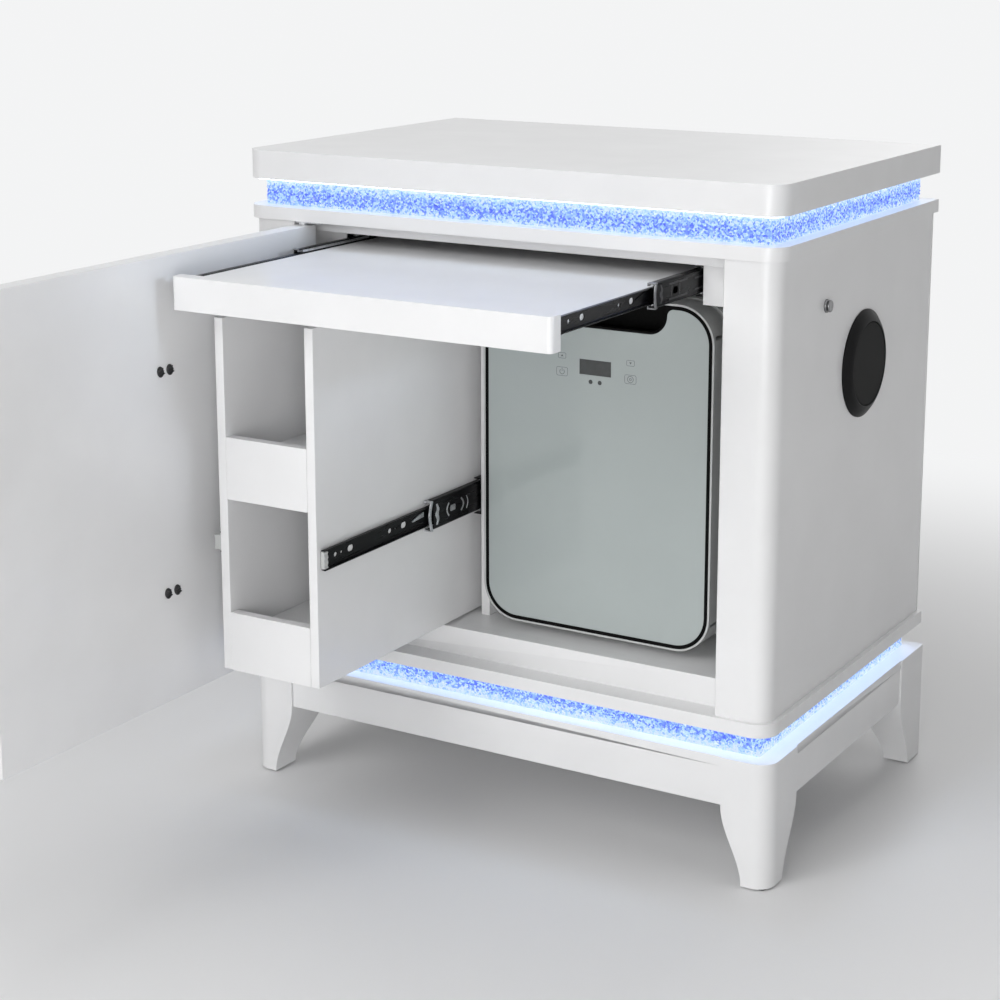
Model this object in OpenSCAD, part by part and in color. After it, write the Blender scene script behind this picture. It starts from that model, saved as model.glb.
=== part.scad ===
// Nightstand with a drinks refrigerator, a pull-out tray and a pull-out can rack,
// drawn with its door open and with the tray and the rack pulled out.
// Origin: on the floor, at the centre of the cabinet's footprint. Front is -Y, right is +X.

/* [Cabinet] */
// Depth of the top slab, the ledge and the lower plate
top_d = 480; // [430:1:560]
// How far the top slab, ledge and plate stand out past the body
overhang = 5.5; // [2:0.5:12]
// Radius of the slab's two front corners, seen from above
corner_r = 26; // [10:1:40]
// Thickness of the top slab
slab_t = 34.5; // [25:0.5:45]
// Thickness of the ledge under the upper band
ledge_t = 16; // [12:0.5:22]
// Thickness of the plate above the lower band
plate_t = 16; // [12:0.5:22]
// Width of each front post
post_w = 64; // [50:1:75]
// Depth of each front post
post_d = 44.5; // [38:0.5:60]
// Radius of the post's outer front corner
post_r = 22; // [8:1:34]
// Thickness of the side panels
side_t = 15; // [12:0.5:18]
// Thickness of the back panel
back_t = 5; // [3:0.5:9]
// How far the front rails are set back behind the posts' front
rail_in = 24.5; // [20:0.5:28]
// Height of the top front rail
top_rail_h = 14.5; // [10:0.5:20]
// Height of the cabinet floor above the lower plate
floor_up = 34; // [28:0.5:45]
// Thickness of the cabinet floor board
floor_t = 16; // [12:0.5:20]

/* [Light bands] */
// Height of the upper crystal band
upper_band_h = 32.5; // [20:0.5:45]
// Height of the lower crystal band
lower_band_h = 28.5; // [20:0.5:45]
// How far the crystal bands are set in from the slab's edge
band_in = 18; // [14:0.5:26]
// Thickness of the crystal band
band_t = 3; // [2:0.5:5]
// Thickness of the board frame behind each band
core_t = 18; // [12:0.5:24]
// Width of the light strip
led_w = 8; // [5:0.5:10]
// Thickness of the light strip
led_t = 2; // [1:0.5:3]

/* [Base] */
// How far the base stands out past the plate at the sides
base_out = 4.5; // [2:0.5:12]
// How far the base stands out past the plate at the front
base_front = 3; // [2:0.5:12]
// How far the base's top board is set in between the legs
board_in = 2; // [0:0.5:4]
// Clear height under the base rails
leg_clear = 93; // [70:1:120]
// Height of the base rails
apron_h = 47; // [35:1:60]
// Thickness of the base rails
apron_t = 20; // [15:1:26]
// How far the base rails are set in behind the legs' faces
apron_in = 2.5; // [0:0.5:5]
// Thickness of the board on top of the base
base_top_t = 11.5; // [8:0.5:18]
// Width of a leg, seen from the front
leg_w = 60; // [45:1:80]
// Depth of a leg, seen from the side
leg_d = 76; // [50:1:90]
// How much a leg narrows towards the floor, seen from the front
leg_taper_w = 27; // [10:1:36]
// How much a leg narrows towards the floor, seen from the side
leg_taper_d = 34; // [10:1:40]
// Thickness of the glides under the legs
glide_t = 2; // [1:0.5:5]

/* [Door] */
// Thickness of the door
door_t = 22; // [18:0.5:26]
// Gap between the door and the posts
door_gap = 2; // [1.5:0.5:3]
// Gap between the door and the plate below it
door_lift = 4; // [3:0.5:6]
// Gap between the door and the ledge above it
door_drop = 5; // [3:0.5:8]
// Distance of the pivot pins from the door's outer face and from its edge
pivot_in = 7; // [6.5:0.5:8]
// Radius of the pivot pins
pivot_r = 3; // [2:0.25:3.5]
// Length of a pivot pin inside the door
pivot_len = 12; // [8:1:20]
// Thickness of the pivot plates
pivot_plate_t = 2.5; // [1.5:0.5:2.5]
// Rounding of the door's hinge edge
door_edge_r = 3.5; // [2.5:0.25:5]
// Width of the groove that divides the door's face in two
groove_w = 5; // [3:0.5:10]
// Depth of that groove
groove_deep = 4; // [2:0.5:8]
// Distance of the pulls from the hinge edge
pull_from_hinge = 290; // [150:1:400]
// Distance between the two bolts of a pull
pull_pitch = 16; // [12:1:40]
// Radius of the pull bolts
bolt_r = 2; // [1.5:0.25:3]
// Length of a pull's bar
pull_w = 62; // [50:1:120]
// Distance of the pull's bar from the door
pull_out = 16; // [12:1:30]
// Radius of the pull's bar
pull_r = 6; // [4:0.5:8]

/* [Tray] */
// How far the tray is pulled out
tray_out = 314; // [0:1:330]
// Gap between the open door and the tray rail beside it
tray_door_gap = 3.5; // [2:0.5:20]
// Thickness of a tray rail
tray_rail_t = 18; // [12:1:24]
// Height of a tray rail
tray_rail_h = 62; // [55:1:70]
// Thickness of the cap that joins a tray rail to the side panel
tray_cap_t = 12; // [8:1:20]
// Gap between the tray's lip and the rails when the tray is in
lip_gap = 0.5; // [0.5:0.5:3]
// Height of the tray's front lip
lip_h = 37; // [34:1:38]
// Thickness of the tray's front lip
lip_t = 18; // [14:1:22]
// Gap between the lip's top and the top rail
lip_drop = 8.5; // [6:0.5:12]
// Thickness of the tray board
tray_t = 16; // [12:0.5:18]
// How far the tray board's top lies under the lip's top
tray_sink = 5; // [3:0.5:8]

/* [Can rack] */
// How far the rack is pulled out
rack_out = 316; // [0:1:320]
// Width of the rack
rack_w = 134; // [110:1:150]
// Gap between the open door and the panel that carries the rack
bay_door_gap = 18; // [12:0.5:30]
// Gap between the rack's top and the tray rails
rack_drop = 12; // [8:0.5:30]
// Room behind the rack when it is in
rack_behind = 21.5; // [15:0.5:60]
// Gap between the rack and the cabinet floor
rack_lift = 3; // [2:0.5:6]
// Thickness of the rack's panels
rack_t = 11.5; // [9:0.5:15]
// Height of the rack's lower front rail
rack_low_rail = 69; // [45:1:90]
// Height of the lower opening
rack_open_h = 133; // [110:1:140]
// Height of the rack's middle front rail
rack_mid_rail = 72; // [45:1:90]
// How far a shelf lies under the top of its front rail
shelf_sink = 27; // [15:1:40]
// Distance of the rack's two carrying panels behind the posts' front
bay_in = 83; // [76:1:95]
// How far the rack's front stands ahead of the carrying panels when it is in
rack_ahead = 7; // [4:0.5:12]
// Gap between the carrying panels' top and the tray rails
bay_drop = 14; // [5:0.5:30]
// Thickness of the carrying panels
bay_t = 12; // [9:0.5:15]
// Height of the rack slides' centre above the cabinet floor
rack_slide_up = 151; // [80:1:200]

/* [Slides] */
// Thickness of a slide, and the gap that it takes
slide_t = 12.5; // [12:0.5:14]
// Height of the tray slides
tray_slide_h = 35; // [34:0.5:36]
// Room behind the tray slides
tray_slide_behind = 21; // [10:0.5:60]
// Height of the rack slides
rack_slide_h = 45.5; // [44:0.5:47]
// Room behind the rack slides
rack_slide_behind = 34.5; // [10:0.5:60]
// Sheet thickness of the slides
slide_sheet = 1.2; // [1:0.1:1.4]
// How much shorter the middle member is
mid_short = 10; // [5:1:15]
// Share of the travel that the tray slides' middle member has made
tray_mid_share = 0.36; // [0.3:0.01:0.5]
// Share of the travel that the rack slides' middle member has made
rack_mid_share = 0.32; // [0.3:0.01:0.5]
// Radius of the screw holes in the slides
slide_hole_r = 2.2; // [1.5:0.1:3]

/* [Refrigerator] */
// Width of the refrigerator
fridge_w = 303; // [280:1:310]
// Height of the refrigerator's body
fridge_h = 409; // [380:1:460]
// Gap between the refrigerator's top and the tray rails
fridge_drop = 5; // [3:0.5:20]
// Depth of the refrigerator
fridge_d = 330; // [310:1:345]
// Corner radius of the refrigerator, seen from the front
fridge_r = 45; // [30:1:50]
// Gap between the refrigerator and the rack's carrying panel
fridge_gap = 7.5; // [4:0.5:12]
// Gap between the refrigerator and the right post, seen from the front
fridge_side = 36.5; // [30:0.5:60]
// Distance of the refrigerator's front behind the posts' front
fridge_in = 58.5; // [55:0.5:70]
// Height of the refrigerator's feet
fridge_foot_h = 10; // [6:0.5:12]
// Radius of the refrigerator's feet
fridge_foot_r = 12; // [8:1:18]
// Thickness of the refrigerator's door
fdoor_t = 38; // [34:1:42]
// Thickness of the door seal
seal_t = 8; // [6:0.5:10]
// Width of the bright rim around the refrigerator's front
rim_w = 2.4; // [2:0.1:6]
// Width of the black border between the rim and the glass
joint_w = 4.5; // [2:0.5:7]
// Thickness of the front glass
glass_t = 2.7; // [2:0.1:4]
// Wall of the refrigerator door's tub
tub_t = 6; // [5:0.5:8]
// Thickness of the refrigerator's insulated walls
wall_t = 30; // [26:1:36]
// Thickness of the foam behind the liner
rear_wall_t = 22; // [16:1:30]
// Thickness of the steel shell
shell_t = 2.5; // [1:0.5:3]
// Thickness of the inner liner
liner_t = 2; // [1.5:0.5:3]
// Width of the finger recess
grip_w = 178; // [140:1:200]
// Height of the finger recess's mouth
grip_h = 27; // [22:1:34]
// Depth of the finger recess
grip_d = 24; // [20:1:26]
// Width of the display window
display_w = 41.5; // [30:0.5:60]
// Height of the display window
display_h = 18; // [12:0.5:25]
// Height of the display's centre above the refrigerator's bottom
display_up = 324.5; // [280:0.5:335]
// Distance of the refrigerator's hinge pins from the door's side
fhinge_in = 14; // [12:0.5:16]
// Distance of the hinge pins behind the door's front
fhinge_deep = 12.5; // [12:0.5:14]
// Radius of the refrigerator's hinge pins
fhinge_r = 2.5; // [2:0.25:3]
// Radius of the fan's duct
fan_r = 43; // [35:1:50]

/* [Side controls] */
// Distance of the push button behind the posts' front
button_back = 135.5; // [100:0.5:170]
// Distance of the push button below the ledge
button_down = 67; // [50:1:110]
// Radius of the button's bezel
bezel_r = 7.75; // [6.5:0.25:10]
// Radius of the push button
button_r = 4.5; // [3.5:0.25:5]
// How far the button travels
button_travel = 1.5; // [1:0.1:2]
// Distance of the loudspeaker from the back panel
speaker_back = 216; // [200:0.5:260]
// Distance of the loudspeaker below the ledge
speaker_down = 153; // [130:1:200]
// Outer radius of the loudspeaker's ring
speaker_r = 64; // [55:1:75]
// How far the ring stands out
ring_h = 9; // [6:0.5:9.5]
// Radius of the loudspeaker's grille
grille_r = 49.5; // [40:0.5:52]

/* [Hidden] */

$fn = 96;
white = [0.93, 0.93, 0.94];
black = [0.05, 0.05, 0.06];
silver = [0.75, 0.76, 0.78];
grey = [0.64, 0.67, 0.66];
skin = 0.3; // running gap between parts that move past each other
fit = 0.05; // radial clearance of a pin in its bore
snug = 0.1; // radial clearance of a screw, bolt or barrel in its hole
past = 1; // how far a cut runs past the face that it opens

// Levels, from the floor up
z_apron = leg_clear;
z_base_top = z_apron + apron_h;
z_low_band = z_base_top + base_top_t;
z_plate = z_low_band + lower_band_h;
z_body = z_plate + plate_t;
z_floor = z_body + floor_up;
z_tray_rail = z_floor + fridge_foot_h + fridge_h + fridge_drop;
z_ledge = z_tray_rail + tray_rail_h;
z_up_band = z_ledge + ledge_t;
z_slab = z_up_band + upper_band_h;
speaker_z = z_ledge - speaker_down;
button_z = z_ledge - button_down;

// Planes, from front to back
y_top = -top_d / 2;
y_rear = top_d / 2;
y_body = y_top + overhang;
y_rail = y_body + rail_in;
y_post = y_body + post_d; // rear of the posts and of the front rails
head_t = 2; // screw heads on the back panel
y_back = y_rear - head_t - back_t;
y_base = y_top - base_front;
y_bay = y_body + bay_in;
speaker_y = y_back - speaker_back;
button_y = y_body + button_back;

// Half widths, from what stands side by side between the posts
bay_half = rack_w / 2 + slide_t;
bay_w = 2 * (bay_half + bay_t);
contents_w = door_gap + door_t + bay_door_gap + bay_w + fridge_gap + fridge_w + fridge_side;
post_half = contents_w / 2;
body_half = post_half + post_w;
top_w = 2 * (body_half + overhang); // width of the top slab, the ledge and the lower plate
inner_half = body_half - side_t;
base_half = top_w / 2 + base_out;
panel_h = z_ledge - z_body; // height of the body between the plate and the ledge

// Door
x_door = -post_half + door_gap;
x_door_in = x_door + door_t;
x_pivot = x_door + pivot_in;
y_pivot = y_body + pivot_in;
door_w = 2 * (post_half - door_gap);
z_door = z_body + door_lift;
door_h = panel_h - door_lift - door_drop;

// Tray
z_lip_top = z_ledge - top_rail_h - lip_drop;
z_tray = z_lip_top - tray_sink;
y_tray = y_post - lip_t - lip_gap - tray_out;
z_tray_slide = z_tray - tray_t / 2;
tray_half = -x_door_in - tray_door_gap - tray_rail_t; // half the clear width between the rails
tray_board_half = tray_half - slide_t;
tray_slide_in = 2; // the slide's distance behind the rails' front
y_tray_slide = y_post + tray_slide_in;
tray_slide_len = y_back - tray_slide_behind - y_tray_slide;
tray_mid_out = tray_out * tray_mid_share;

// Rack
rack_half = rack_w / 2;
rack_x = x_door_in + bay_door_gap + bay_w / 2;
z_rack = z_floor + rack_lift;
rack_h = z_tray_rail - rack_drop - z_rack;
y_rack_in = y_bay - rack_ahead;
y_rack = y_rack_in - rack_out;
rack_d = y_back - rack_behind - y_rack_in;
z_rack_slide = z_floor + rack_slide_up;
rack_slide_len = y_back - rack_slide_behind - y_bay;
rack_mid_out = rack_out * rack_mid_share;

// Refrigerator, in its own frame: x from its centre, y from its front, z from its bottom
y_fridge = y_body + fridge_in;
z_fridge = z_floor + fridge_foot_h;
fridge_x = rack_x + bay_w / 2 + fridge_gap + fridge_w / 2;
y_fbody = fdoor_t + seal_t;
frame_t = 4; // front frame and rear cover
fan_t = 20;
sink_base = 5; // heat sink: its plate and its fins
fin_h = 15;
y_cover = fridge_d - frame_t;
y_fan = y_cover - fan_t;
y_foam_end = y_fan - fin_h - sink_base;
y_liner_end = y_foam_end - rear_wall_t;
x_fhinge = fridge_w / 2 - fhinge_in;
arm_t = 3; // hinge arms
arm_r = 6;
arm_up = 34;
cup_t = 2; // wall of the finger recess's cup
z_grip_top = fridge_h - tub_t - cup_t;
z_grip = z_grip_top - grip_h;
grip_r = 20;
seal_w = 10;
seal_in = wall_t - seal_w - 2; // ends 2 mm from the front frame's opening
corner_least = 4; // least corner radius of a set-in outline
cooler_z = fridge_h / 2;

// ---- helpers ----
module block(low, high) {
    translate(low) cube(high - low);
}

module both_sides() {
    children();
    mirror([1, 0, 0]) children();
}

// Plan outline with its two front corners rounded
module plan(w, front, rear, r) {
    translate([-w / 2, front + r]) square([w, rear - front - r]);
    translate([-w / 2 + r, front]) square([w - 2 * r, 2 * r]);
    for (s = [-1, 1]) translate([s * (w / 2 - r), front + r]) circle(r);
}

module slab_of(w, front, rear, r, low, high) {
    translate([0, 0, low]) linear_extrude(high - low) plan(w, front, rear, r);
}

module rounded_rect(w, h, r) {
    square([w - 2 * r, h], center = true);
    square([w, h - 2 * r], center = true);
    for (x = [-1, 1], y = [-1, 1]) translate([x * (w / 2 - r), y * (h / 2 - r)]) circle(r);
}

// An outline drawn as seen from the front, with thickness from y0 to y1
module upright(y0, y1) {
    translate([0, y1, 0]) rotate([90, 0, 0]) linear_extrude(y1 - y0) children();
}

module rod_y(x, z, y0, y1, r) {
    translate([x, y0, z]) rotate([-90, 0, 0]) cylinder(h = y1 - y0, r = r);
}

module rod_x(y, z, x0, x1, r) {
    translate([x0, y, z]) rotate([0, 90, 0]) cylinder(h = x1 - x0, r = r);
}

// ---- top and light bands ----
// The slab's thick edge is a frame under a thinner board
pocket_deep = 16;
pocket_edge = 20;
module top_slab() color(white) difference() {
    slab_of(top_w, y_top, y_rear, corner_r, z_slab, z_slab + slab_t);
    edge = band_in + band_t + core_t + pocket_edge;
    block([-top_w / 2 + edge, y_top + edge, z_slab - past],
          [top_w / 2 - edge, y_rear - edge, z_slab + pocket_deep]);
}

// The board frame that stands behind a crystal band, with nearly sharp corners
core_corner_r = 1;
module band_core(low, high) color(white) difference() {
    in = band_in + band_t;
    slab_of(top_w - 2 * in, y_top + in, y_rear - band_in, core_corner_r, low, high);
    block([-top_w / 2 + in + core_t, y_top + in + core_t, low - past],
          [top_w / 2 - in - core_t, y_rear - band_in - core_t, high + past]);
}

// A strip that runs round the front and both sides, at a distance in from the slab's edge
module wrapped_strip(in, t, r, low, high) difference() {
    slab_of(top_w - 2 * in, y_top + in, y_rear - band_in, r, low, high);
    slab_of(top_w - 2 * (in + t), y_top + in + t, y_rear, r - t, low - past, high + past);
}

module band_cores() {
    band_core(z_up_band, z_slab);
    band_core(z_low_band, z_plate);
}

band_corner_r = core_corner_r + band_t;
module crystal_band(low, high) color([0.45, 0.6, 0.95])
    wrapped_strip(band_in, band_t, band_corner_r, low, high);
module upper_crystal_band() crystal_band(z_up_band, z_slab);
module lower_crystal_band() crystal_band(z_low_band, z_plate);

led_gap = 1.5; // between the light strip and the crystals
led_in = band_in - led_w - led_gap;
module light_strip(top) color([0.85, 0.95, 1])
    wrapped_strip(led_in, led_w, band_corner_r + led_gap + led_w, top - led_t, top);
module light_strips() {
    light_strip(z_slab);
    light_strip(z_plate);
}

module ledge_board() color(white) slab_of(top_w, y_top, y_rear, corner_r, z_ledge, z_up_band);
module lower_plate() color(white) slab_of(top_w, y_top, y_rear, corner_r, z_plate, z_body);

// ---- body ----
screw_r = 1.6;
screw_len = 16;
screw_head_r = 3.4;
screw_rows = 4;
screw_step = (panel_h - side_t) / screw_rows;
// The back panel's screws, in rows along the side panels' rear edges
module at_back_screws() for (i = [0 : screw_rows])
    translate([body_half - side_t / 2, y_back, z_body + side_t / 2 + i * screw_step]) children();

module side_panel() difference() {
    block([inner_half, y_post, z_body], [body_half, y_back, z_ledge]);
    at_back_screws() rod_y(0, 0, -screw_len, past, screw_r + snug);
}

module left_side_panel() color(white) mirror([1, 0, 0]) side_panel();

speaker_hole_r = grille_r + 2;
barrel_t = 1.5;
barrel_r = button_r + barrel_t;
module right_side_panel() color(white) difference() {
    side_panel();
    rod_x(speaker_y, speaker_z, inner_half - past, body_half + past, speaker_hole_r);
    rod_x(button_y, button_z, inner_half - past, body_half + past, barrel_r + fit);
}

module post() translate([0, 0, z_body]) linear_extrude(panel_h) intersection() {
    plan(2 * body_half, y_body, y_post, post_r);
    translate([post_half, y_body - past]) square([post_w, post_d + past]);
}
module front_posts() color(white) both_sides() post();

module front_rails() color(white) {
    block([-post_half, y_rail, z_ledge - top_rail_h], [post_half, y_post, z_ledge]);
    block([-post_half, y_rail, z_body], [post_half, y_post, z_floor]);
}

bearer_w = 40;
module floor_board() color(white) {
    block([-inner_half, y_post, z_floor - floor_t], [inner_half, y_back, z_floor]);
    for (x = [-1, 0, 1] * (inner_half - bearer_w))
        block([x - bearer_w / 2, y_post, z_body], [x + bearer_w / 2, y_back, z_floor - floor_t / 2]);
}

vent_w = 150;
vent_h = 6;
vent_step = 14;
vent_count = 9;
grommet_in = 45; // from the side panel
grommet_up = 30; // above the cabinet floor
grommet_r = 17;
grommet_x = inner_half - grommet_in;
grommet_z = z_floor + grommet_up;

module back_panel() color(white) difference() {
    block([-body_half, y_back, z_body], [body_half, y_back + back_t, z_ledge]);
    for (i = [0 : vent_count - 1]) {
        z = z_fridge + cooler_z + (i - (vent_count - 1) / 2) * vent_step;
        block([fridge_x - vent_w / 2, y_back - past, z - vent_h / 2],
              [fridge_x + vent_w / 2, y_back + back_t + past, z + vent_h / 2]);
    }
    rod_y(grommet_x, grommet_z, y_back - past, y_back + back_t + past, grommet_r + snug);
    both_sides() at_back_screws() rod_y(0, 0, -past, back_t + past, screw_r + snug);
}

module back_panel_screws() color(silver) both_sides() at_back_screws() {
    rod_y(0, 0, back_t, back_t + head_t, screw_head_r);
    rod_y(0, 0, back_t - screw_len, back_t + head_t, screw_r);
}

grommet_lip = 4;
grommet_wall = 2.5;
grommet_tail = 3;
module cable_grommet() color(black) difference() {
    union() {
        rod_y(grommet_x, grommet_z, y_back - grommet_tail, y_rear, grommet_r);
        rod_y(grommet_x, grommet_z, y_back + back_t, y_rear, grommet_r + grommet_lip);
    }
    rod_y(grommet_x, grommet_z, y_back - grommet_tail - past, y_rear + past, grommet_r - grommet_wall);
}

// ---- base ----
// Places a leg's outline at the four corners, its outer corner at the origin
module at_legs() both_sides() {
    translate([-base_half, y_base, 0]) children(0);
    translate([-base_half, y_rear, 0]) mirror([0, 1, 0]) children(1);
}

// Plan of a leg, with its outer corner at the origin, reaching towards +x and +y
module leg_plan(r) {
    translate([r, 0]) square([leg_w - r, leg_d]);
    translate([0, r]) square([leg_w, leg_d - r]);
    translate([r, r]) circle(r);
}

rear_leg_r = 4;
// The board over the base: set in over the rails, and flush over the legs
module base_top_board() color(white) translate([0, 0, z_base_top]) linear_extrude(base_top_t) {
    plan(2 * (base_half - board_in), y_base + board_in, y_rear, corner_r);
    at_legs() {
        leg_plan(post_r);
        leg_plan(rear_leg_r);
    }
}

module base_rails() color(white) {
    x_in = base_half - leg_w;
    for (y = [y_base + apron_in, y_rear - apron_in - apron_t])
        block([-x_in, y, z_apron], [x_in, y + apron_t, z_base_top]);
    both_sides()
        block([base_half - apron_in - apron_t, y_base + leg_d, z_apron],
              [base_half - apron_in, y_rear - leg_d, z_base_top]);
}

// Side view of a leg: straight outside, and a curve on the inside below the rails
leg_steps = 14;
// How far the inside has moved in, from 0 at the rails to 1 at the floor: an S curve
function leg_in(down) = pow(down, 2) * (3 - 2 * down);
function leg_inside(w, taper) = [
    for (i = [0 : leg_steps])
        let (down = i / leg_steps)
        [w - taper * leg_in(down), z_apron + (glide_t - z_apron) * down]
];
function leg_outline(w, taper) =
    concat([[0, glide_t], [0, z_base_top], [w, z_base_top]], leg_inside(w, taper));

module leg(r) intersection() {
    translate([0, leg_d, 0]) rotate([90, 0, 0]) linear_extrude(leg_d)
        polygon(leg_outline(leg_w, leg_taper_w));
    rotate([90, 0, 90]) linear_extrude(leg_w) polygon(leg_outline(leg_d, leg_taper_d));
    linear_extrude(z_base_top) leg_plan(r);
}
module legs() color(white) at_legs() {
    leg(post_r);
    leg(rear_leg_r);
}

glide_in = 6;
glide_r = 5;
glide_w = leg_w - leg_taper_w;
glide_d = leg_d - leg_taper_d;
module leg_glides() color(black) both_sides()
    for (y = [y_base, y_rear - glide_d]) translate([base_half - glide_w / 2, y + glide_d / 2, 0])
        linear_extrude(glide_t) rounded_rect(glide_w - 2 * glide_in, glide_d - 2 * glide_in, glide_r);

// ---- rack bay and tray rails ----
module rack_bay_panels() color(white) translate([rack_x, 0, 0]) both_sides()
    block([bay_half, y_bay, z_floor], [bay_half + bay_t, y_back, z_tray_rail - bay_drop]);

module tray_rails() color(white) both_sides() {
    block([tray_half, y_post, z_tray_rail], [inner_half, y_post + tray_cap_t, z_ledge]);
    block([tray_half, y_post, z_tray_rail], [tray_half + tray_rail_t, y_back, z_ledge]);
}

// ---- door ----
module door_outline() translate([x_door, y_pivot + pivot_in]) {
    r = door_edge_r;
    translate([0, -door_w]) square([door_t, door_w - r]);
    translate([r, -2 * r]) square([door_t - 2 * r, 2 * r]);
    for (x = [r, door_t - r]) translate([x, -r]) circle(r);
}

pull_z = [z_door + door_h / 4, z_door + door_h * 3 / 4];
pull_y = y_pivot + pivot_in - pull_from_hinge;
module at_pulls() for (z = pull_z) translate([x_door, pull_y, z]) children();
module at_bolts() at_pulls() for (s = [-1, 1]) translate([0, s * pull_pitch / 2, 0]) children();

module door_panel() color(white) difference() {
    translate([0, 0, z_door]) linear_extrude(door_h) door_outline();
    block([x_door - past, y_pivot - door_w - past, z_door + (door_h - groove_w) / 2],
          [x_door + groove_deep, y_pivot + pivot_in + past, z_door + (door_h + groove_w) / 2]);
    translate([x_pivot, y_pivot, z_door - past]) cylinder(h = pivot_len + past + skin, r = pivot_r + fit);
    translate([x_pivot, y_pivot, z_door + door_h - pivot_len - skin])
        cylinder(h = pivot_len + past + skin, r = pivot_r + fit);
    at_bolts() rotate([0, 90, 0]) translate([0, 0, -past]) cylinder(h = door_t + 2 * past, r = bolt_r + snug);
}

// A pivot plate with its pin. One is let in on the lower plate, one under the ledge.
plate_long = 30;
plate_side = 8;
collar_r = 2 * pivot_r;
plate_edge = 2; // the plate's edge behind the posts' front
module pivot_set(gap) translate([x_pivot, y_pivot, 0]) {
    block([-pivot_in, plate_edge - pivot_in, 0], [plate_long, plate_side, pivot_plate_t]);
    cylinder(h = gap + pivot_len, r = pivot_r);
    cylinder(h = gap - skin, r = collar_r);
}
module door_pivots() color(silver) {
    translate([0, 0, z_body]) pivot_set(door_lift);
    translate([0, 0, z_ledge]) mirror([0, 0, 1]) pivot_set(door_drop);
}

bolt_into = 6;
cap_r = 5;
cap_t = 3.5;
stem_r = 4.5;
module door_pulls() color(silver) at_pulls() mirror([1, 0, 0]) difference() {
    union() {
        for (s = [-1, 1]) translate([0, s * pull_pitch / 2, 0]) rotate([0, 90, 0])
            cylinder(h = pull_out, r = stem_r);
        translate([pull_out, pull_w / 2 - pull_r, 0]) rotate([90, 0, 0])
            cylinder(h = pull_w - 2 * pull_r, r = pull_r);
        for (s = [-1, 1]) translate([pull_out, s * (pull_w / 2 - pull_r), 0]) sphere(pull_r);
    }
    for (s = [-1, 1]) translate([-past, s * pull_pitch / 2, 0]) rotate([0, 90, 0])
        cylinder(h = bolt_into + past, r = bolt_r + snug);
}
module pull_bolts() color(black) at_bolts() {
    translate([-bolt_into, 0, 0]) rotate([0, 90, 0]) cylinder(h = bolt_into + door_t + cap_t, r = bolt_r);
    translate([door_t, 0, 0]) rotate([0, 90, 0]) cylinder(h = cap_t, r = cap_r);
}

// ---- tray ----
module tray_board() color(white)
    block([-tray_board_half, y_tray + lip_t, z_tray - tray_t],
          [tray_board_half, y_tray + lip_t + tray_slide_len, z_tray]);

lip_r = 6;
lip_half = tray_half - 2;
module tray_lip() color(white)
    slab_of(2 * lip_half, y_tray, y_tray + lip_t, lip_r, z_lip_top - lip_h, z_lip_top);

// ---- slides ----
// A channel along y with its web at x = 0 and its flanges towards +x
module channel(h, deep, y, len) translate([0, y, -h / 2]) {
    cube([slide_sheet, len, h]);
    for (z = [0, h - slide_sheet]) translate([0, 0, z]) cube([deep, len, slide_sheet]);
}

hole_places = [0.06, 0.3, 0.62, 0.92]; // along a slide, as shares of its length
module web_holes(y, len) for (s = hole_places)
    rod_x(y + len * s, 0, -past, slide_sheet + past, slide_hole_r);

// The three members of the slide on the right of a drawer, x = 0 at the drawer's side.
// Heights of the middle and inner members follow the outer one.
mid_height_share = 0.79;
inner_height_share = 0.52;
function mid_h(h) = h * mid_height_share;
function inner_h(h) = h * inner_height_share;
ball_gap = 0.3;
lap = 2.4; // how far each member's edge lies inside the next one's
outer_deep = slide_t - lap - ball_gap;
mid_x = outer_deep - ball_gap;
mid_deep = mid_x - lap / 3;
inner_deep = mid_deep - lap;

module outer_member(h, y, len) translate([slide_t, 0, 0]) mirror([1, 0, 0]) difference() {
    channel(h, outer_deep, y, len);
    web_holes(y, len);
}

module inner_member(h, y, len) difference() {
    channel(inner_h(h), inner_deep, y, len);
    web_holes(y, len);
}

module middle_member(h, y, len)
    translate([mid_x, 0, 0]) mirror([1, 0, 0]) channel(mid_h(h), mid_deep, y, len);

module both_ways() {
    children();
    mirror([0, 0, 1]) children();
}

// Ball cages above and below, in the gap between two members
cage_wide = 4.5;
cage_edge = 0.5; // a cage's distance from the member's web or edge
module cage_pair(low, high, x_far, y, len) both_ways()
    block([x_far - cage_edge - cage_wide, y, low + ball_gap], [x_far - cage_edge, y + len, high - ball_gap]);

// Cages between the outer and middle members, and between the middle and inner ones
cage_start = 8; // how far a cage lies behind the front of its members
cage_share = 0.34; // a cage's share of its slide's length
module slide_cages(h, len, y_out, y_mid) {
    cage_pair(mid_h(h) / 2, h / 2 - slide_sheet, mid_x, y_out + cage_start, len * cage_share);
    cage_pair(inner_h(h) / 2, mid_h(h) / 2 - slide_sheet, inner_deep, y_mid + cage_start, len * cage_share);
}

y_tray_mid = y_tray_slide - tray_mid_out;
module at_tray_slides() both_sides() translate([tray_board_half, 0, z_tray_slide]) children();
module tray_slide_outers() color(black)
    at_tray_slides() outer_member(tray_slide_h, y_tray_slide, tray_slide_len);
module tray_slide_inners() color(black)
    at_tray_slides() inner_member(tray_slide_h, y_tray + lip_t, tray_slide_len);
module tray_slide_middles() color(black)
    at_tray_slides() middle_member(tray_slide_h, y_tray_mid, tray_slide_len - mid_short);
module tray_slide_cages() color(silver)
    at_tray_slides() slide_cages(tray_slide_h, tray_slide_len, y_tray_slide, y_tray_mid);

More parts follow.
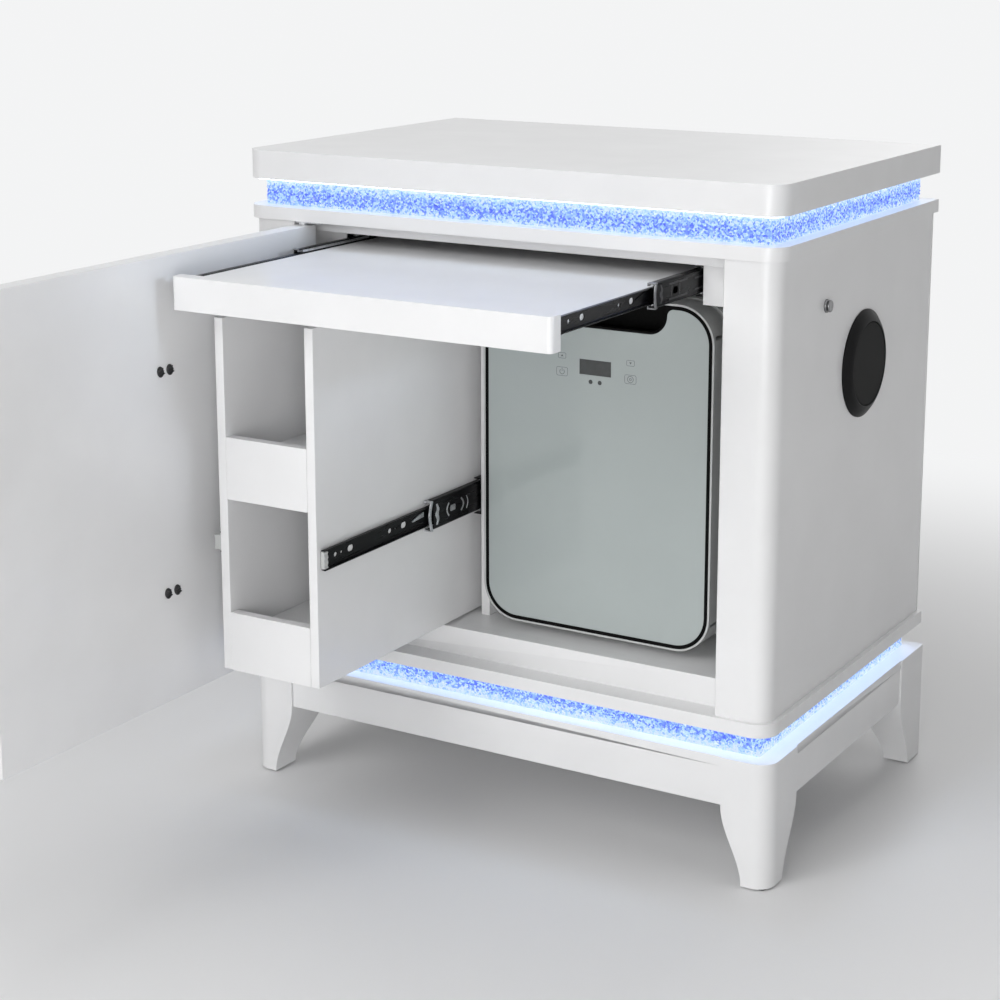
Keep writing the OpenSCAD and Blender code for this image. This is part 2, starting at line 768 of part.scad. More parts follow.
y_rack_slide = y_bay;
y_rack_mid = y_rack_slide - rack_mid_out;
module at_rack_slides() translate([rack_x, 0, 0]) both_sides() translate([rack_half, 0, z_rack_slide])
    children();
module rack_slide_outers() color(black)
    at_rack_slides() outer_member(rack_slide_h, y_rack_slide, rack_slide_len);
module rack_slide_inners() color(black)
    at_rack_slides() inner_member(rack_slide_h, y_rack + rack_ahead, rack_slide_len);
module rack_slide_middles() color(black)
    at_rack_slides() middle_member(rack_slide_h, y_rack_mid, rack_slide_len - mid_short);
module rack_slide_cages() color(silver)
    at_rack_slides() slide_cages(rack_slide_h, rack_slide_len, y_rack_slide, y_rack_mid);

// ---- rack ----
module at_rack() translate([rack_x, y_rack, z_rack]) children();
rack_inner = rack_half - rack_t;
module rack_sides() color(white) at_rack() both_sides()
    block([rack_inner, 0, 0], [rack_half, rack_d, rack_h]);
module rack_back() color(white) at_rack()
    block([-rack_inner, rack_d - rack_t, 0], [rack_inner, rack_d, rack_h]);
module rack_front_rails() color(white) at_rack() {
    block([-rack_inner, 0, 0], [rack_inner, rack_t, rack_low_rail]);
    translate([0, 0, rack_low_rail + rack_open_h])
        block([-rack_inner, 0, 0], [rack_inner, rack_t, rack_mid_rail]);
}
shelf_tops = [rack_low_rail - shelf_sink, rack_low_rail + rack_open_h + rack_mid_rail - shelf_sink];
module rack_shelves() color(white) at_rack() for (z = shelf_tops)
    block([-rack_inner, rack_t, z - rack_t], [rack_inner, rack_d - rack_t, z]);

// ---- side controls ----
ring_seat = 1.5; // height of the ring's outer edge
ring_top = 1; // width of the ring's flat top
ring_lip = 3; // the lip that the grille lies on
grille_t = 2;
grille_sink = 0.5; // how far the grille lies behind the ring's top
grille_up = ring_h - grille_sink - grille_t;
// A cone that rises from the side panel to the grille
module speaker_ring() color(black) translate([body_half, speaker_y, speaker_z]) rotate([0, 90, 0])
    rotate_extrude() polygon([
        [grille_r - ring_lip, 0], [speaker_r, 0], [speaker_r, ring_seat], [grille_r + ring_top, ring_h],
        [grille_r, ring_h], [grille_r, grille_up], [grille_r - ring_lip, grille_up]
    ]);

module speaker_grille() color(black) translate([grille_up, 0, 0])
    rod_x(speaker_y, speaker_z, body_half, body_half + grille_t, grille_r - skin);

driver_r = speaker_hole_r - skin;
driver_deep = 42;
magnet_r = 26;
magnet_t = 16;
cone_r = 38;
cone_t = 2;
cone_deep = 16;
rim_t = 3;
dome_r = 14;
surround_w = 5;
// Magnet, basket and cone, from the inside of the cabinet to the grille
module speaker_driver() color(black) translate([body_half, speaker_y, speaker_z]) rotate([0, 90, 0])
    rotate_extrude() polygon([
        [0, -driver_deep], [magnet_r, -driver_deep], [magnet_r, magnet_t - driver_deep],
        [cone_r - cone_t, -cone_deep - cone_t], [driver_r, -rim_t], [driver_r, 0], [driver_r - surround_w, 0],
        [cone_r, -surround_w], [dome_r, -cone_deep], [0, -cone_deep]
    ]);

bezel_h = 2.5;
button_up = 3.5;
nut_t = 4;
nut_out = 3;
nut_in = button_travel + 0.5; // how far the button's rear lies inside the nut
module button_bezel() color(silver) difference() {
    union() {
        rod_x(button_y, button_z, body_half, body_half + bezel_h, bezel_r);
        rod_x(button_y, button_z, inner_half - nut_t, body_half + bezel_h, barrel_r);
        rod_x(button_y, button_z, inner_half - nut_t, inner_half, barrel_r + nut_out);
    }
    rod_x(button_y, button_z, inner_half - nut_t - past, body_half + bezel_h + past, button_r + fit);
}
module side_button() color(silver)
    rod_x(button_y, button_z, inner_half - nut_t + nut_in, body_half + bezel_h + button_up, button_r);

box_size = [28, 100, 80];
box_rear = 42; // from the back panel
switch_size = [12, 16, 16];
// The light and sound controller on the side panel, and the switch behind the button
module control_box() color(black) {
    translate([inner_half - box_size.x, y_back - box_rear - box_size.y, speaker_z - box_size.z / 2])
        cube(box_size);
    translate([inner_half - nut_t - switch_size.x / 2, button_y, button_z]) cube(switch_size, center = true);
}

// ---- refrigerator ----
module at_fridge() translate([fridge_x, y_fridge, z_fridge]) children();

// Front outline, set in by a distance
module fridge_outline(in) translate([0, fridge_h / 2])
    rounded_rect(fridge_w - 2 * in, fridge_h - 2 * in, max(fridge_r - in, corner_least));

// The finger recess's outline, grown by a distance on all sides
module grip_outline(grow) intersection() {
    plan(grip_w + 2 * grow, z_grip - grow, fridge_h, grip_r + grow);
    translate([-grip_w, 0]) square([2 * grip_w, z_grip_top + grow]);
}

module fridge_ring(y0, y1, outer_in, inner_in) difference() {
    upright(y0, y1) fridge_outline(outer_in);
    upright(y0 - past, y1 + past) fridge_outline(inner_in);
}

// The shell that wraps the body, and its feet under the flat of its bottom
foot_in = 30; // from the body's front and rear
foot_x = fridge_w / 2 - fridge_r - fridge_foot_r;
module fridge_shell() color(silver) at_fridge() {
    fridge_ring(y_fbody + frame_t, y_cover, 0, shell_t);
    for (x = [-foot_x, foot_x], y = [y_fbody + foot_in, y_cover - foot_in])
        translate([x, y, -fridge_foot_h]) cylinder(h = fridge_foot_h + shell_t / 2, r = fridge_foot_r);
}

// One hinge: a flange on the front frame, an arm, and a pin that points up
flange_t = 2;
flange_w = 12.5;
flange_down = 8;
flange_up = 14;
module fridge_hinge() translate([x_fhinge, fhinge_deep, arm_up]) {
    y_flange = y_fbody - fhinge_deep;
    block([-fhinge_r, y_flange - flange_t, -flange_down], [flange_w - fhinge_r, y_flange, flange_up]);
    block([-fhinge_r, 0, 0], [arm_r, y_flange, arm_t]);
    cylinder(h = arm_t, r = arm_r);
    cylinder(h = arm_t + pivot_len, r = fhinge_r);
}
module top_and_bottom() {
    children();
    translate([0, 0, fridge_h]) mirror([0, 0, 1]) children();
}

module fridge_front_frame() color(silver) at_fridge()
    fridge_ring(y_fbody, y_fbody + frame_t, 0, wall_t);
module fridge_hinges() color(silver) at_fridge() top_and_bottom() fridge_hinge();

block_w = 50; // the metal block that carries heat through the wall
module fridge_insulation() color([0.9, 0.85, 0.6]) at_fridge() difference() {
    upright(y_fbody + frame_t, y_foam_end) fridge_outline(shell_t);
    upright(y_fbody + frame_t - past, y_liner_end) fridge_outline(wall_t - liner_t);
    upright(y_liner_end - past, y_foam_end + past) translate([0, cooler_z]) square(block_w, center = true);
}

// The shelf lies on a rib along each side
rib_t = 4;
rib_in = 20;
rib_d = 170;
rib_down = 40;
z_rib = cooler_z - rib_down;
module fridge_liner() color(white) at_fridge() {
    difference() {
        upright(y_fbody + frame_t, y_liner_end) fridge_outline(wall_t - liner_t);
        upright(y_fbody + frame_t - past, y_liner_end - liner_t) fridge_outline(wall_t);
        upright(y_liner_end - liner_t - past, y_liner_end + past)
            translate([0, cooler_z]) square(block_w, center = true);
    }
    both_sides() block([fridge_w / 2 - wall_t - rib_t, y_fbody + rib_in, z_rib],
                       [fridge_w / 2 - wall_t + liner_t / 2, y_fbody + rib_in + rib_d, z_rib + rib_t]);
}

module fridge_shelf() color([0.8, 0.9, 0.95]) at_fridge()
    block([-fridge_w / 2 + wall_t + skin, y_fbody + rib_in, z_rib + rib_t],
          [fridge_w / 2 - wall_t - skin, y_fbody + rib_in + rib_d, z_rib + 2 * rib_t]);

plate_w = 120;
cold_t = 5;
fin_t = 1.5;
fin_count = 15;
fan_wall = 3;
fan_body = 2 * (fan_r + fan_wall);
// Cold plate, block, and finned heat sink
module fridge_cooler() color(silver) at_fridge() {
    block([-plate_w / 2, y_liner_end - liner_t - cold_t, cooler_z - plate_w / 2],
          [plate_w / 2, y_liner_end - liner_t, cooler_z + plate_w / 2]);
    block([-block_w / 2, y_liner_end - liner_t - cold_t, cooler_z - block_w / 2],
          [block_w / 2, y_foam_end + sink_base, cooler_z + block_w / 2]);
    block([-fan_body / 2, y_foam_end, cooler_z - fan_body / 2],
          [fan_body / 2, y_foam_end + sink_base, cooler_z + fan_body / 2]);
    for (i = [0 : fin_count - 1]) {
        x = -fan_body / 2 + i * (fan_body - fin_t) / (fin_count - 1);
        block([x, y_foam_end, cooler_z - fan_body / 2], [x + fin_t, y_fan, cooler_z + fan_body / 2]);
    }
}

hub_r = 16;
hub_t = 12;
hub_from = 2; // behind the fins
shaft_r = 1.5;
blade_count = 7;
blade_t = 1.6;
blade_w = 14;
blade_pitch = 38;
blade_gap = 2; // from the duct
blade_root = 2; // how far a blade reaches into the hub
// The fan's rotor, in the y direction from its hub's front
module fridge_fan() color(black) at_fridge() translate([0, y_fan + hub_from, cooler_z]) difference() {
    union() {
        rod_y(0, 0, 0, hub_t, hub_r);
        for (i = [0 : blade_count - 1]) rotate([0, i * 360 / blade_count, 0])
            translate([0, hub_t / 2, 0]) rotate([blade_pitch, 0, 0])
                block([hub_r - blade_root, -blade_t / 2, -blade_w / 2],
                      [fan_r - blade_gap, blade_t / 2, blade_w / 2]);
    }
    rod_y(0, 0, -past, hub_t + past, shaft_r + fit);
}

cover_slot_h = 4;
cover_step = 9;
cover_slots = 4; // above and below the middle one
cover_rib = 4; // half the width of the rib down the middle
slot_r = fan_r - 1; // the slots end on this circle
inlet_x = 90;
inlet_z = 40;
inlet_r = 5;
inlet_wall = 2;
inlet_deep = 12;
motor_r = 12;
motor_gap = 1;
// The rear cover with its grille, the fan's frame and shaft, and the power inlet
y_seat = y_cover + frame_t / 2; // what stands on the cover reaches this far into it
module fridge_rear_cover() color(black) at_fridge() {
    difference() {
        union() {
            upright(y_cover, fridge_d) fridge_outline(0);
            rod_y(inlet_x, inlet_z, y_cover - inlet_deep, y_seat, inlet_r + inlet_wall);
        }
        for (i = [-cover_slots : cover_slots]) {
            z = i * cover_step;
            half = sqrt(pow(slot_r, 2) - pow(abs(z) + cover_slot_h / 2, 2));
            both_sides() block([cover_rib, y_cover - past, cooler_z + z - cover_slot_h / 2],
                               [half, fridge_d + past, cooler_z + z + cover_slot_h / 2]);
        }
        rod_y(inlet_x, inlet_z, y_cover - inlet_wall, fridge_d + past, inlet_r);
    }
    translate([0, 0, cooler_z]) difference() {
        block([-fan_body / 2, y_fan, -fan_body / 2], [fan_body / 2, y_seat, fan_body / 2]);
        rod_y(0, 0, y_fan - past, y_seat + past, fan_r);
    }
    rod_y(0, cooler_z, y_fan + hub_from, y_seat, shaft_r);
    rod_y(0, cooler_z, y_fan + hub_from + hub_t + motor_gap, y_seat, motor_r);
}

// ---- refrigerator door ----
glass_in = 0.3; // how far the glass lies behind the rim
backing_t = 1.5;
y_backing = glass_in + glass_t;
y_web = y_backing + backing_t;
web_t = 2.5;
slot_gap = 0.5;
slot_side = 1.5;

// Where a hinge goes in: an opening for the arm, towards the rear and the side
module hinge_slot() {
    block([x_fhinge - arm_r - slot_side, fhinge_deep - arm_r - slot_side, arm_up - slot_gap],
          [fridge_w / 2 + past, fdoor_t + past, arm_up + arm_t + slot_gap]);
    translate([x_fhinge, fhinge_deep, arm_up]) cylinder(h = arm_t + pivot_len + skin, r = fhinge_r + fit);
}

// The block of the tub that holds a hinge pin
boss_side = 10; // from the pin, towards the door's middle
boss_deep = 12; // from the pin, towards the rear
boss_over = 3; // past the pin's end
module hinge_boss() block([x_fhinge - boss_side, y_web, 0],
    [fridge_w / 2, fhinge_deep + boss_deep, arm_up + arm_t + pivot_len + boss_over]);

pocket_down = 14;
pocket_r = 8;
module grip_pocket(grow)
    plan(grip_w + 2 * grow, z_grip - pocket_down - grow, z_grip + pocket_r, pocket_r + grow);

module fridge_door_frame() color(silver) at_fridge() difference() {
    union() {
        fridge_ring(0, fdoor_t, 0, tub_t);
        upright(y_web, y_web + web_t) fridge_outline(tub_t / 2);
        top_and_bottom() intersection() {
            hinge_boss();
            upright(0, fdoor_t) fridge_outline(tub_t / 2);
        }
    }
    upright(-past, y_web) fridge_outline(rim_w);
    upright(y_web - past, y_web + web_t + past) {
        grip_outline(cup_t);
        grip_pocket(cup_t);
    }
    top_and_bottom() hinge_slot();
}

// The display window and its two lamps
lamp_r = 2.6;
lamp_side = 6;
lamp_down = 17;
module display_outline() {
    translate([0, display_up]) square([display_w, display_h], center = true);
    for (s = [-1, 1]) translate([s * lamp_side, display_up - lamp_down]) circle(lamp_r);
}
grip_edge = 3; // black edge around the finger recess
flare_r = 8; // rounding of the glass where the recess meets the border

// The glass's outline, with its two corners beside the finger recess rounded
module glass_outline() difference() {
    fridge_outline(rim_w + joint_w);
    grip_outline(grip_edge);
    top = fridge_h - rim_w - joint_w;
    side = grip_w / 2 + grip_edge;
    translate([-side, top - flare_r]) square([2 * side, flare_r]);
    for (s = [-1, 1]) difference() {
        translate([s * side, top - flare_r / 2]) square([2 * flare_r, flare_r], center = true);
        translate([s * (side + flare_r), top - flare_r]) circle(flare_r);
    }
}

// Behind the glass: a black plate with a border around the glass, and the cup of the finger
// recess, whose pocket reaches down behind the plate
module fridge_door_backing() color(black) at_fridge() difference() {
    union() {
        upright(y_backing, y_web) fridge_outline(rim_w);
        upright(glass_in, y_backing) difference() {
            fridge_outline(rim_w);
            glass_outline();
        }
        upright(y_web, grip_d + cup_t) {
            grip_outline(cup_t);
            grip_pocket(cup_t);
        }
    }
    upright(-past, grip_d) grip_outline(0);
    upright(y_web + web_t + cup_t, grip_d) grip_pocket(0);
}
module fridge_door_glass() color(grey) at_fridge() upright(glass_in, y_backing) difference() {
    glass_outline();
    display_outline();
}
module fridge_display() color(black) at_fridge() upright(glass_in, y_backing) display_outline();

// Inner face of the door, with its raised panel
raised = 12;
raised_in = 4; // from the cavity's walls
pan_t = 3;
module fridge_door_liner() color(white) at_fridge() difference() {
    union() {
        upright(fdoor_t - pan_t, fdoor_t) fridge_outline(tub_t);
        upright(fdoor_t - pan_t, y_fbody + raised) fridge_outline(wall_t + raised_in);
    }
    upright(fdoor_t - pan_t - past, y_fbody + raised - pan_t) fridge_outline(wall_t + raised_in + pan_t);
    top_and_bottom() hinge_slot();
}

module fridge_door_seal() color(black) at_fridge()
    fridge_ring(fdoor_t, y_fbody - skin, seal_in, seal_in + seal_w);

top_slab();
ledge_board();
lower_plate();
band_cores();
upper_crystal_band();
lower_crystal_band();
light_strips();
left_side_panel();
right_side_panel();
front_posts();
front_rails();
floor_board();
back_panel();
back_panel_screws();
cable_grommet();
base_top_board();
base_rails();
legs();
leg_glides();
rack_bay_panels();
tray_rails();
door_pivots();
tray_slide_outers();
rack_slide_outers();
speaker_ring();
speaker_grille();
speaker_driver();
button_bezel();
control_box();
side_button();
door_panel();
door_pulls();
pull_bolts();
tray_board();
tray_lip();
tray_slide_inners();
tray_slide_middles();
tray_slide_cages();
rack_sides();
rack_back();
rack_front_rails();
rack_shelves();
rack_slide_inners();
rack_slide_middles();
rack_slide_cages();
fridge_shell();
fridge_front_frame();
fridge_insulation();
fridge_liner();
fridge_shelf();
fridge_cooler();
fridge_fan();
fridge_rear_cover();
fridge_door_frame();
fridge_door_backing();
fridge_door_glass();
fridge_display();
fridge_door_liner();
fridge_door_seal();
fridge_hinges();
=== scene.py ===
# The looks of the refrigerator nightstand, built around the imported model.
# Metres, in the model's own frame: front is -Y, right is +X, the floor is z = 0.
import math
import random

import bmesh
import bpy
from mathutils import Matrix, Vector


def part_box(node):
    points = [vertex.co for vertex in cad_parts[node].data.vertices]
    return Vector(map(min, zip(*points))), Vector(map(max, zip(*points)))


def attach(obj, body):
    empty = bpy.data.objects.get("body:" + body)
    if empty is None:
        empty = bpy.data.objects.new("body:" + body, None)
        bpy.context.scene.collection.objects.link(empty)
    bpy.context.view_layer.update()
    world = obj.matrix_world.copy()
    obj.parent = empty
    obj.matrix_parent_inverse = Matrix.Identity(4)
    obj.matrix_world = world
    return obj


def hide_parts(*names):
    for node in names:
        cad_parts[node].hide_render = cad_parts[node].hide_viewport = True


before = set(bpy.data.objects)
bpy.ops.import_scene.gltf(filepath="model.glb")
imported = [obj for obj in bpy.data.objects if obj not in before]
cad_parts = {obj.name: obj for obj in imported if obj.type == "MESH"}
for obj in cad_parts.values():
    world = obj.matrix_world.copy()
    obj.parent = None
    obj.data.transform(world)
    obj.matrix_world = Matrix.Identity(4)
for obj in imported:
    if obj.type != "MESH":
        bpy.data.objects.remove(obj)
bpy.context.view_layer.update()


# ---- camera, fitted to the photograph ----
LENS = 76.81  # mm, on a sensor 36 mm wide
SHIFT = (-0.0154, -0.12)
EYE = (1.255, -2.296, 1.074)
YAW = 30.81  # degrees to the left
PITCH = 12.24  # degrees down


def make_camera():
    data = bpy.data.cameras.new("camera")
    data.lens = LENS
    data.sensor_width = 36.0
    data.shift_x, data.shift_y = SHIFT
    data.clip_start = 0.05
    data.clip_end = 300.0
    camera = bpy.data.objects.new("camera", data)
    camera.location = EYE
    camera.rotation_euler = (math.radians(90 - PITCH), 0, math.radians(YAW))
    bpy.context.scene.collection.objects.link(camera)
    bpy.context.scene.camera = camera


make_camera()
bpy.context.scene.view_settings.view_transform = "Standard"


# ---- materials ----
class Shader:
    """A node material: a principled shader with noise behind its colour, gloss and relief."""

    def __init__(self, name, **constants):
        self.material = bpy.data.materials.new(name)
        self.material.use_nodes = True
        self.tree = self.material.node_tree
        self.bsdf = self.tree.nodes["Principled BSDF"]
        self.coord = self.tree.nodes.new("ShaderNodeTexCoord")
        for socket, value in constants.items():
            self.bsdf.inputs[socket.replace("_", " ")].default_value = value

    def node(self, kind, **settings):
        made = self.tree.nodes.new("ShaderNode" + kind)
        for key, value in settings.items():
            setattr(made, key, value)
        return made

    def link(self, source, target):
        self.tree.links.new(source, target)

    def combine(self, operation, one, two):
        """The sum or product of two values."""
        made = self.node("Math", operation=operation)
        self.link(one, made.inputs[0])
        self.link(two, made.inputs[1])
        return made.outputs[0]

    def place(self, stretch):
        """Object coordinates, scaled apart along the axes."""
        if stretch == (1, 1, 1):
            return self.coord.outputs["Object"]
        mapping = self.node("Mapping")
        mapping.inputs["Scale"].default_value = stretch
        self.link(self.coord.outputs["Object"], mapping.inputs["Vector"])
        return mapping.outputs["Vector"]

    def noise(self, grain, stretch=(1, 1, 1), detail=3.0):
        made = self.node("TexNoise")
        made.inputs["Scale"].default_value = 1 / grain
        made.inputs["Detail"].default_value = detail
        self.link(self.place(stretch), made.inputs["Vector"])
        return made.outputs["Fac"]

    def ramp(self, value, stops):
        made = self.node("ValToRGB")
        elements = made.color_ramp.elements
        while len(elements) < len(stops):
            elements.new(0.5)
        for element, (position, colour) in zip(elements, stops):
            element.position = position
            element.color = (*colour, 1)
        self.link(value, made.inputs["Fac"])
        return made.outputs["Color"]

    def spread(self, value, low, high, start=0.3, end=0.7):
        made = self.node("MapRange")
        for socket, number in (("From Min", start), ("From Max", end), ("To Min", low), ("To Max", high)):
            made.inputs[socket].default_value = number
        self.link(value, made.inputs["Value"])
        return made.outputs["Result"]

    def colour(self, low, high, grain, stretch=(1, 1, 1)):
        value = self.noise(grain, stretch)
        self.link(self.ramp(value, [(0.3, low), (0.7, high)]), self.bsdf.inputs["Base Color"])
        return self

    def rough(self, low, high, grain, stretch=(1, 1, 1)):
        value = self.noise(grain, stretch)
        self.link(self.spread(value, low, high), self.bsdf.inputs["Roughness"])
        return self

    def relief(self, height, grain, stretch=(1, 1, 1), value=None):
        bump = self.node("Bump")
        bump.inputs["Distance"].default_value = height
        self.link(value or self.noise(grain, stretch, 2.0), bump.inputs["Height"])
        self.link(bump.outputs["Normal"], self.bsdf.inputs["Normal"])
        return self


def lacquer():
    """Satin white lacquer on board, with the faint orange peel of a sprayed coat."""
    s = Shader("white_lacquer", Coat_Weight=0.25, Coat_Roughness=0.18)
    s.colour((0.79, 0.79, 0.795), (0.82, 0.82, 0.825), 0.09)
    s.rough(0.34, 0.44, 0.05)
    return s.relief(0.00002, 0.0022).material


CELL = 0.0023  # metres across one patch of colour in the crushed glass


def crystals(name, low, high, glow, drift_low):
    """Crushed glass with a painted glow: a random cell colour as emission, lighter where glow says so, from
    low to high.
    """
    # The emission is painted light: the crystals glow though they are no lamp.
    s = Shader(name, Roughness=0.15, IOR=1.5, Emission_Strength=0.72)
    s.colour((0.02, 0.045, 0.22), (0.04, 0.08, 0.34), 0.004)
    cells = s.node("TexVoronoi")
    cells.inputs["Scale"].default_value = 1 / CELL
    s.link(s.coord.outputs["Object"], cells.inputs["Vector"])
    red = s.node("SeparateColor")
    s.link(cells.outputs["Color"], red.inputs["Color"])
    height = s.node("SeparateXYZ")
    s.link(s.coord.outputs["Object"], height.inputs["Vector"])
    # Painted glow: lighter by height towards the light strips.
    up = s.spread(height.outputs["Z"], 0, 1, low, high)
    painted_glow = s.ramp(up, glow)
    wave = s.spread(s.noise(0.02), drift_low, 0.10)
    total = s.combine("ADD", s.combine("ADD", red.outputs["Red"], painted_glow), wave)
    share = s.spread(total, 0, 1, 0, 2)
    colour = s.ramp(share, [
        (0.0, (0.03, 0.04, 0.45)),
        (0.06, (0.09, 0.13, 0.88)),
        (0.20, (0.17, 0.27, 1.0)),
        (0.34, (0.31, 0.52, 1.0)),
        (0.46, (0.55, 0.84, 1.0)),
        (0.66, (0.85, 0.98, 1.0)),
    ])
    s.link(colour, s.bsdf.inputs["Emission Color"])
    return s.material


def light_strip():
    """The diffuser over the row of small lamps, unevenly bright along its length."""
    s = Shader("light_strip", Emission_Strength=4.5, Roughness=0.5)
    s.colour((0.75, 0.85, 0.9), (0.8, 0.9, 0.95), 0.004)
    glow = s.ramp(s.noise(0.012), [(0.3, (0.60, 0.75, 1.0)), (0.7, (0.74, 0.87, 1.0))])
    s.link(glow, s.bsdf.inputs["Emission Color"])
    return s.material


def black_steel():
    """Electrocoated steel: near black, with a fine grain along the slide."""
    s = Shader("black_steel", Specular_IOR_Level=0.14)
    s.colour((0.003, 0.003, 0.0035), (0.007, 0.007, 0.008), 0.006, (1, 0.15, 1))
    s.rough(0.24, 0.36, 0.004, (1, 0.1, 1))
    return s.relief(0.00001, 0.0008, (1, 0.1, 1)).material


def clip_and_highlight_grey():
    """Dark grey metal of the tray slides' clips; on their stamped curves and ribs it is a painted highlight.
    """
    s = Shader("clip_and_highlight_grey", Metallic=0.6)
    s.colour((0.03, 0.03, 0.032), (0.09, 0.09, 0.095), 0.002)
    return s.rough(0.3, 0.5, 0.002).relief(0.00001, 0.0006).material


def zinc():
    s = Shader("zinc_steel", Metallic=0.9)
    s.colour((0.52, 0.53, 0.55), (0.68, 0.69, 0.71), 0.003)
    return s.rough(0.25, 0.4, 0.002).relief(0.00001, 0.0006).material


def grey_zinc():
    """The tray slides' guards: a darker grey zinc than the rack slides' guards."""
    s = Shader("grey_zinc", Metallic=0.9)
    s.colour((0.20, 0.205, 0.215), (0.30, 0.305, 0.315), 0.003)
    return s.rough(0.34, 0.48, 0.002).relief(0.00001, 0.0006).material


def chrome():
    """Satin chrome of the door's pulls, finely brushed."""
    s = Shader("chrome", Metallic=1.0)
    s.colour((0.60, 0.60, 0.61), (0.74, 0.74, 0.75), 0.0012, (0.2, 1, 1))
    return s.rough(0.14, 0.3, 0.0008, (0.2, 1, 1)).relief(0.000008, 0.0005, (0.2, 1, 1)).material


def nickel():
    """Brushed grey metal of the button and its bezel."""
    s = Shader("brushed_nickel", Metallic=1.0)
    s.colour((0.17, 0.17, 0.175), (0.26, 0.26, 0.265), 0.0008, (1, 0.3, 0.3))
    return s.rough(0.26, 0.4, 0.0008).relief(0.000008, 0.0005).material


def black_plastic():
    """Moulded black plastic with a spark-eroded grain."""
    s = Shader("black_plastic")
    s.colour((0.014, 0.014, 0.015), (0.024, 0.024, 0.025), 0.001)
    return s.rough(0.34, 0.5, 0.003).relief(0.00004, 0.0007).material


def speaker_cloth():
    """Fine black grille cloth: two sets of threads that cross."""
    s = Shader("speaker_cloth", Roughness=0.75, Specular_IOR_Level=0.12, Sheen_Weight=0.05)
    threads = []
    for direction in ("Y", "Z"):
        wave = s.node("TexWave", wave_type="BANDS", bands_direction=direction)
        wave.inputs["Scale"].default_value = 500
        wave.inputs["Distortion"].default_value = 0.6
        s.link(s.coord.outputs["Object"], wave.inputs["Vector"])
        threads.append(wave.outputs["Fac"])
    weave = s.combine("MULTIPLY", *threads)
    tone = s.ramp(weave, [(0.1, (0.002, 0.002, 0.002)), (0.8, (0.010, 0.010, 0.010))])
    s.link(tone, s.bsdf.inputs["Base Color"])
    return s.relief(0.0002, 1, value=weave).material


def speaker_frame():
    s = Shader("speaker_frame", Specular_IOR_Level=0.07)
    s.colour((0.007, 0.007, 0.0075), (0.013, 0.013, 0.0135), 0.0012)
    return s.rough(0.34, 0.46, 0.004).relief(0.00003, 0.0006).material


def enamel():
    """Grey-white powder coat of the refrigerator's steel shell."""
    s = Shader("fridge_enamel")
    s.colour((0.58, 0.60, 0.59), (0.63, 0.65, 0.64), 0.02)
    return s.rough(0.34, 0.5, 0.006).relief(0.00003, 0.0012).material


def white_plastic():
    s = Shader("white_plastic")
    s.colour((0.70, 0.71, 0.70), (0.76, 0.77, 0.76), 0.03)
    return s.rough(0.26, 0.36, 0.01).relief(0.00001, 0.0015).material


def rim_plastic():
    """Grey plastic of the refrigerator door's rim."""
    s = Shader("rim_plastic")
    s.colour((0.46, 0.47, 0.465), (0.51, 0.52, 0.515), 0.02)
    return s.rough(0.28, 0.38, 0.006).relief(0.00001, 0.0012).material


def glass_front():
    """Grey-green glass with paint on its back: a glossy coat over a soft colour."""
    s = Shader("grey_glass", IOR=1.5, Coat_Weight=0.6, Coat_Roughness=0.03)
    s.colour((0.375, 0.417, 0.412), (0.405, 0.447, 0.440), 0.25)
    return s.rough(0.10, 0.14, 0.05).material


def clear_plastic():
    s = Shader("clear_plastic", Transmission_Weight=0.85, IOR=1.49)
    s.colour((0.80, 0.88, 0.92), (0.86, 0.93, 0.96), 0.02)
    return s.rough(0.08, 0.16, 0.01).material


def aluminium():
    s = Shader("aluminium", Metallic=0.95)
    s.colour((0.66, 0.67, 0.68), (0.78, 0.79, 0.80), 0.004, (1, 1, 0.1))
    return s.rough(0.25, 0.4, 0.003, (1, 1, 0.1)).relief(0.00001, 0.0008, (1, 1, 0.1)).material


def foam():
    s = Shader("foam")
    s.colour((0.68, 0.60, 0.36), (0.80, 0.73, 0.48), 0.004)
    return s.rough(0.8, 0.95, 0.003).relief(0.0004, 0.0012).material


def rubber():
    s = Shader("seal_rubber")
    s.colour((0.30, 0.31, 0.31), (0.36, 0.37, 0.37), 0.004)
    return s.rough(0.55, 0.7, 0.003).relief(0.00003, 0.001).material


def dark_window():
    """Smoked window of the display, unlit."""
    s = Shader("display_window", IOR=1.5, Coat_Weight=0.5, Coat_Roughness=0.04)
    s.colour((0.026, 0.030, 0.030), (0.034, 0.038, 0.038), 0.006)
    return s.rough(0.12, 0.2, 0.01).material


def black_border():
    """The black print around the glass: nearly no reflection."""
    s = Shader("black_border", Specular_IOR_Level=0.06)
    s.colour((0.002, 0.002, 0.002), (0.004, 0.004, 0.004), 0.004)
    return s.rough(0.35, 0.5, 0.002).material


def printed(name, tone):
    """Thin print on the glass."""
    s = Shader(name)
    s.colour(tuple(0.92 * c for c in tone), tone, 0.002)
    return s.rough(0.35, 0.5, 0.001).material


def band_crystals(side, glow, drift_low):
    """The crystals of one band. Glow: how much lighter the painted glow makes them, from the band's foot to
    its top.
    """
    low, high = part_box(side + "_crystal_band")
    greys = [(place, (tone,) * 3) for place, tone in glow]
    return crystals("crystals_" + side, low.z, high.z, greys, drift_low)


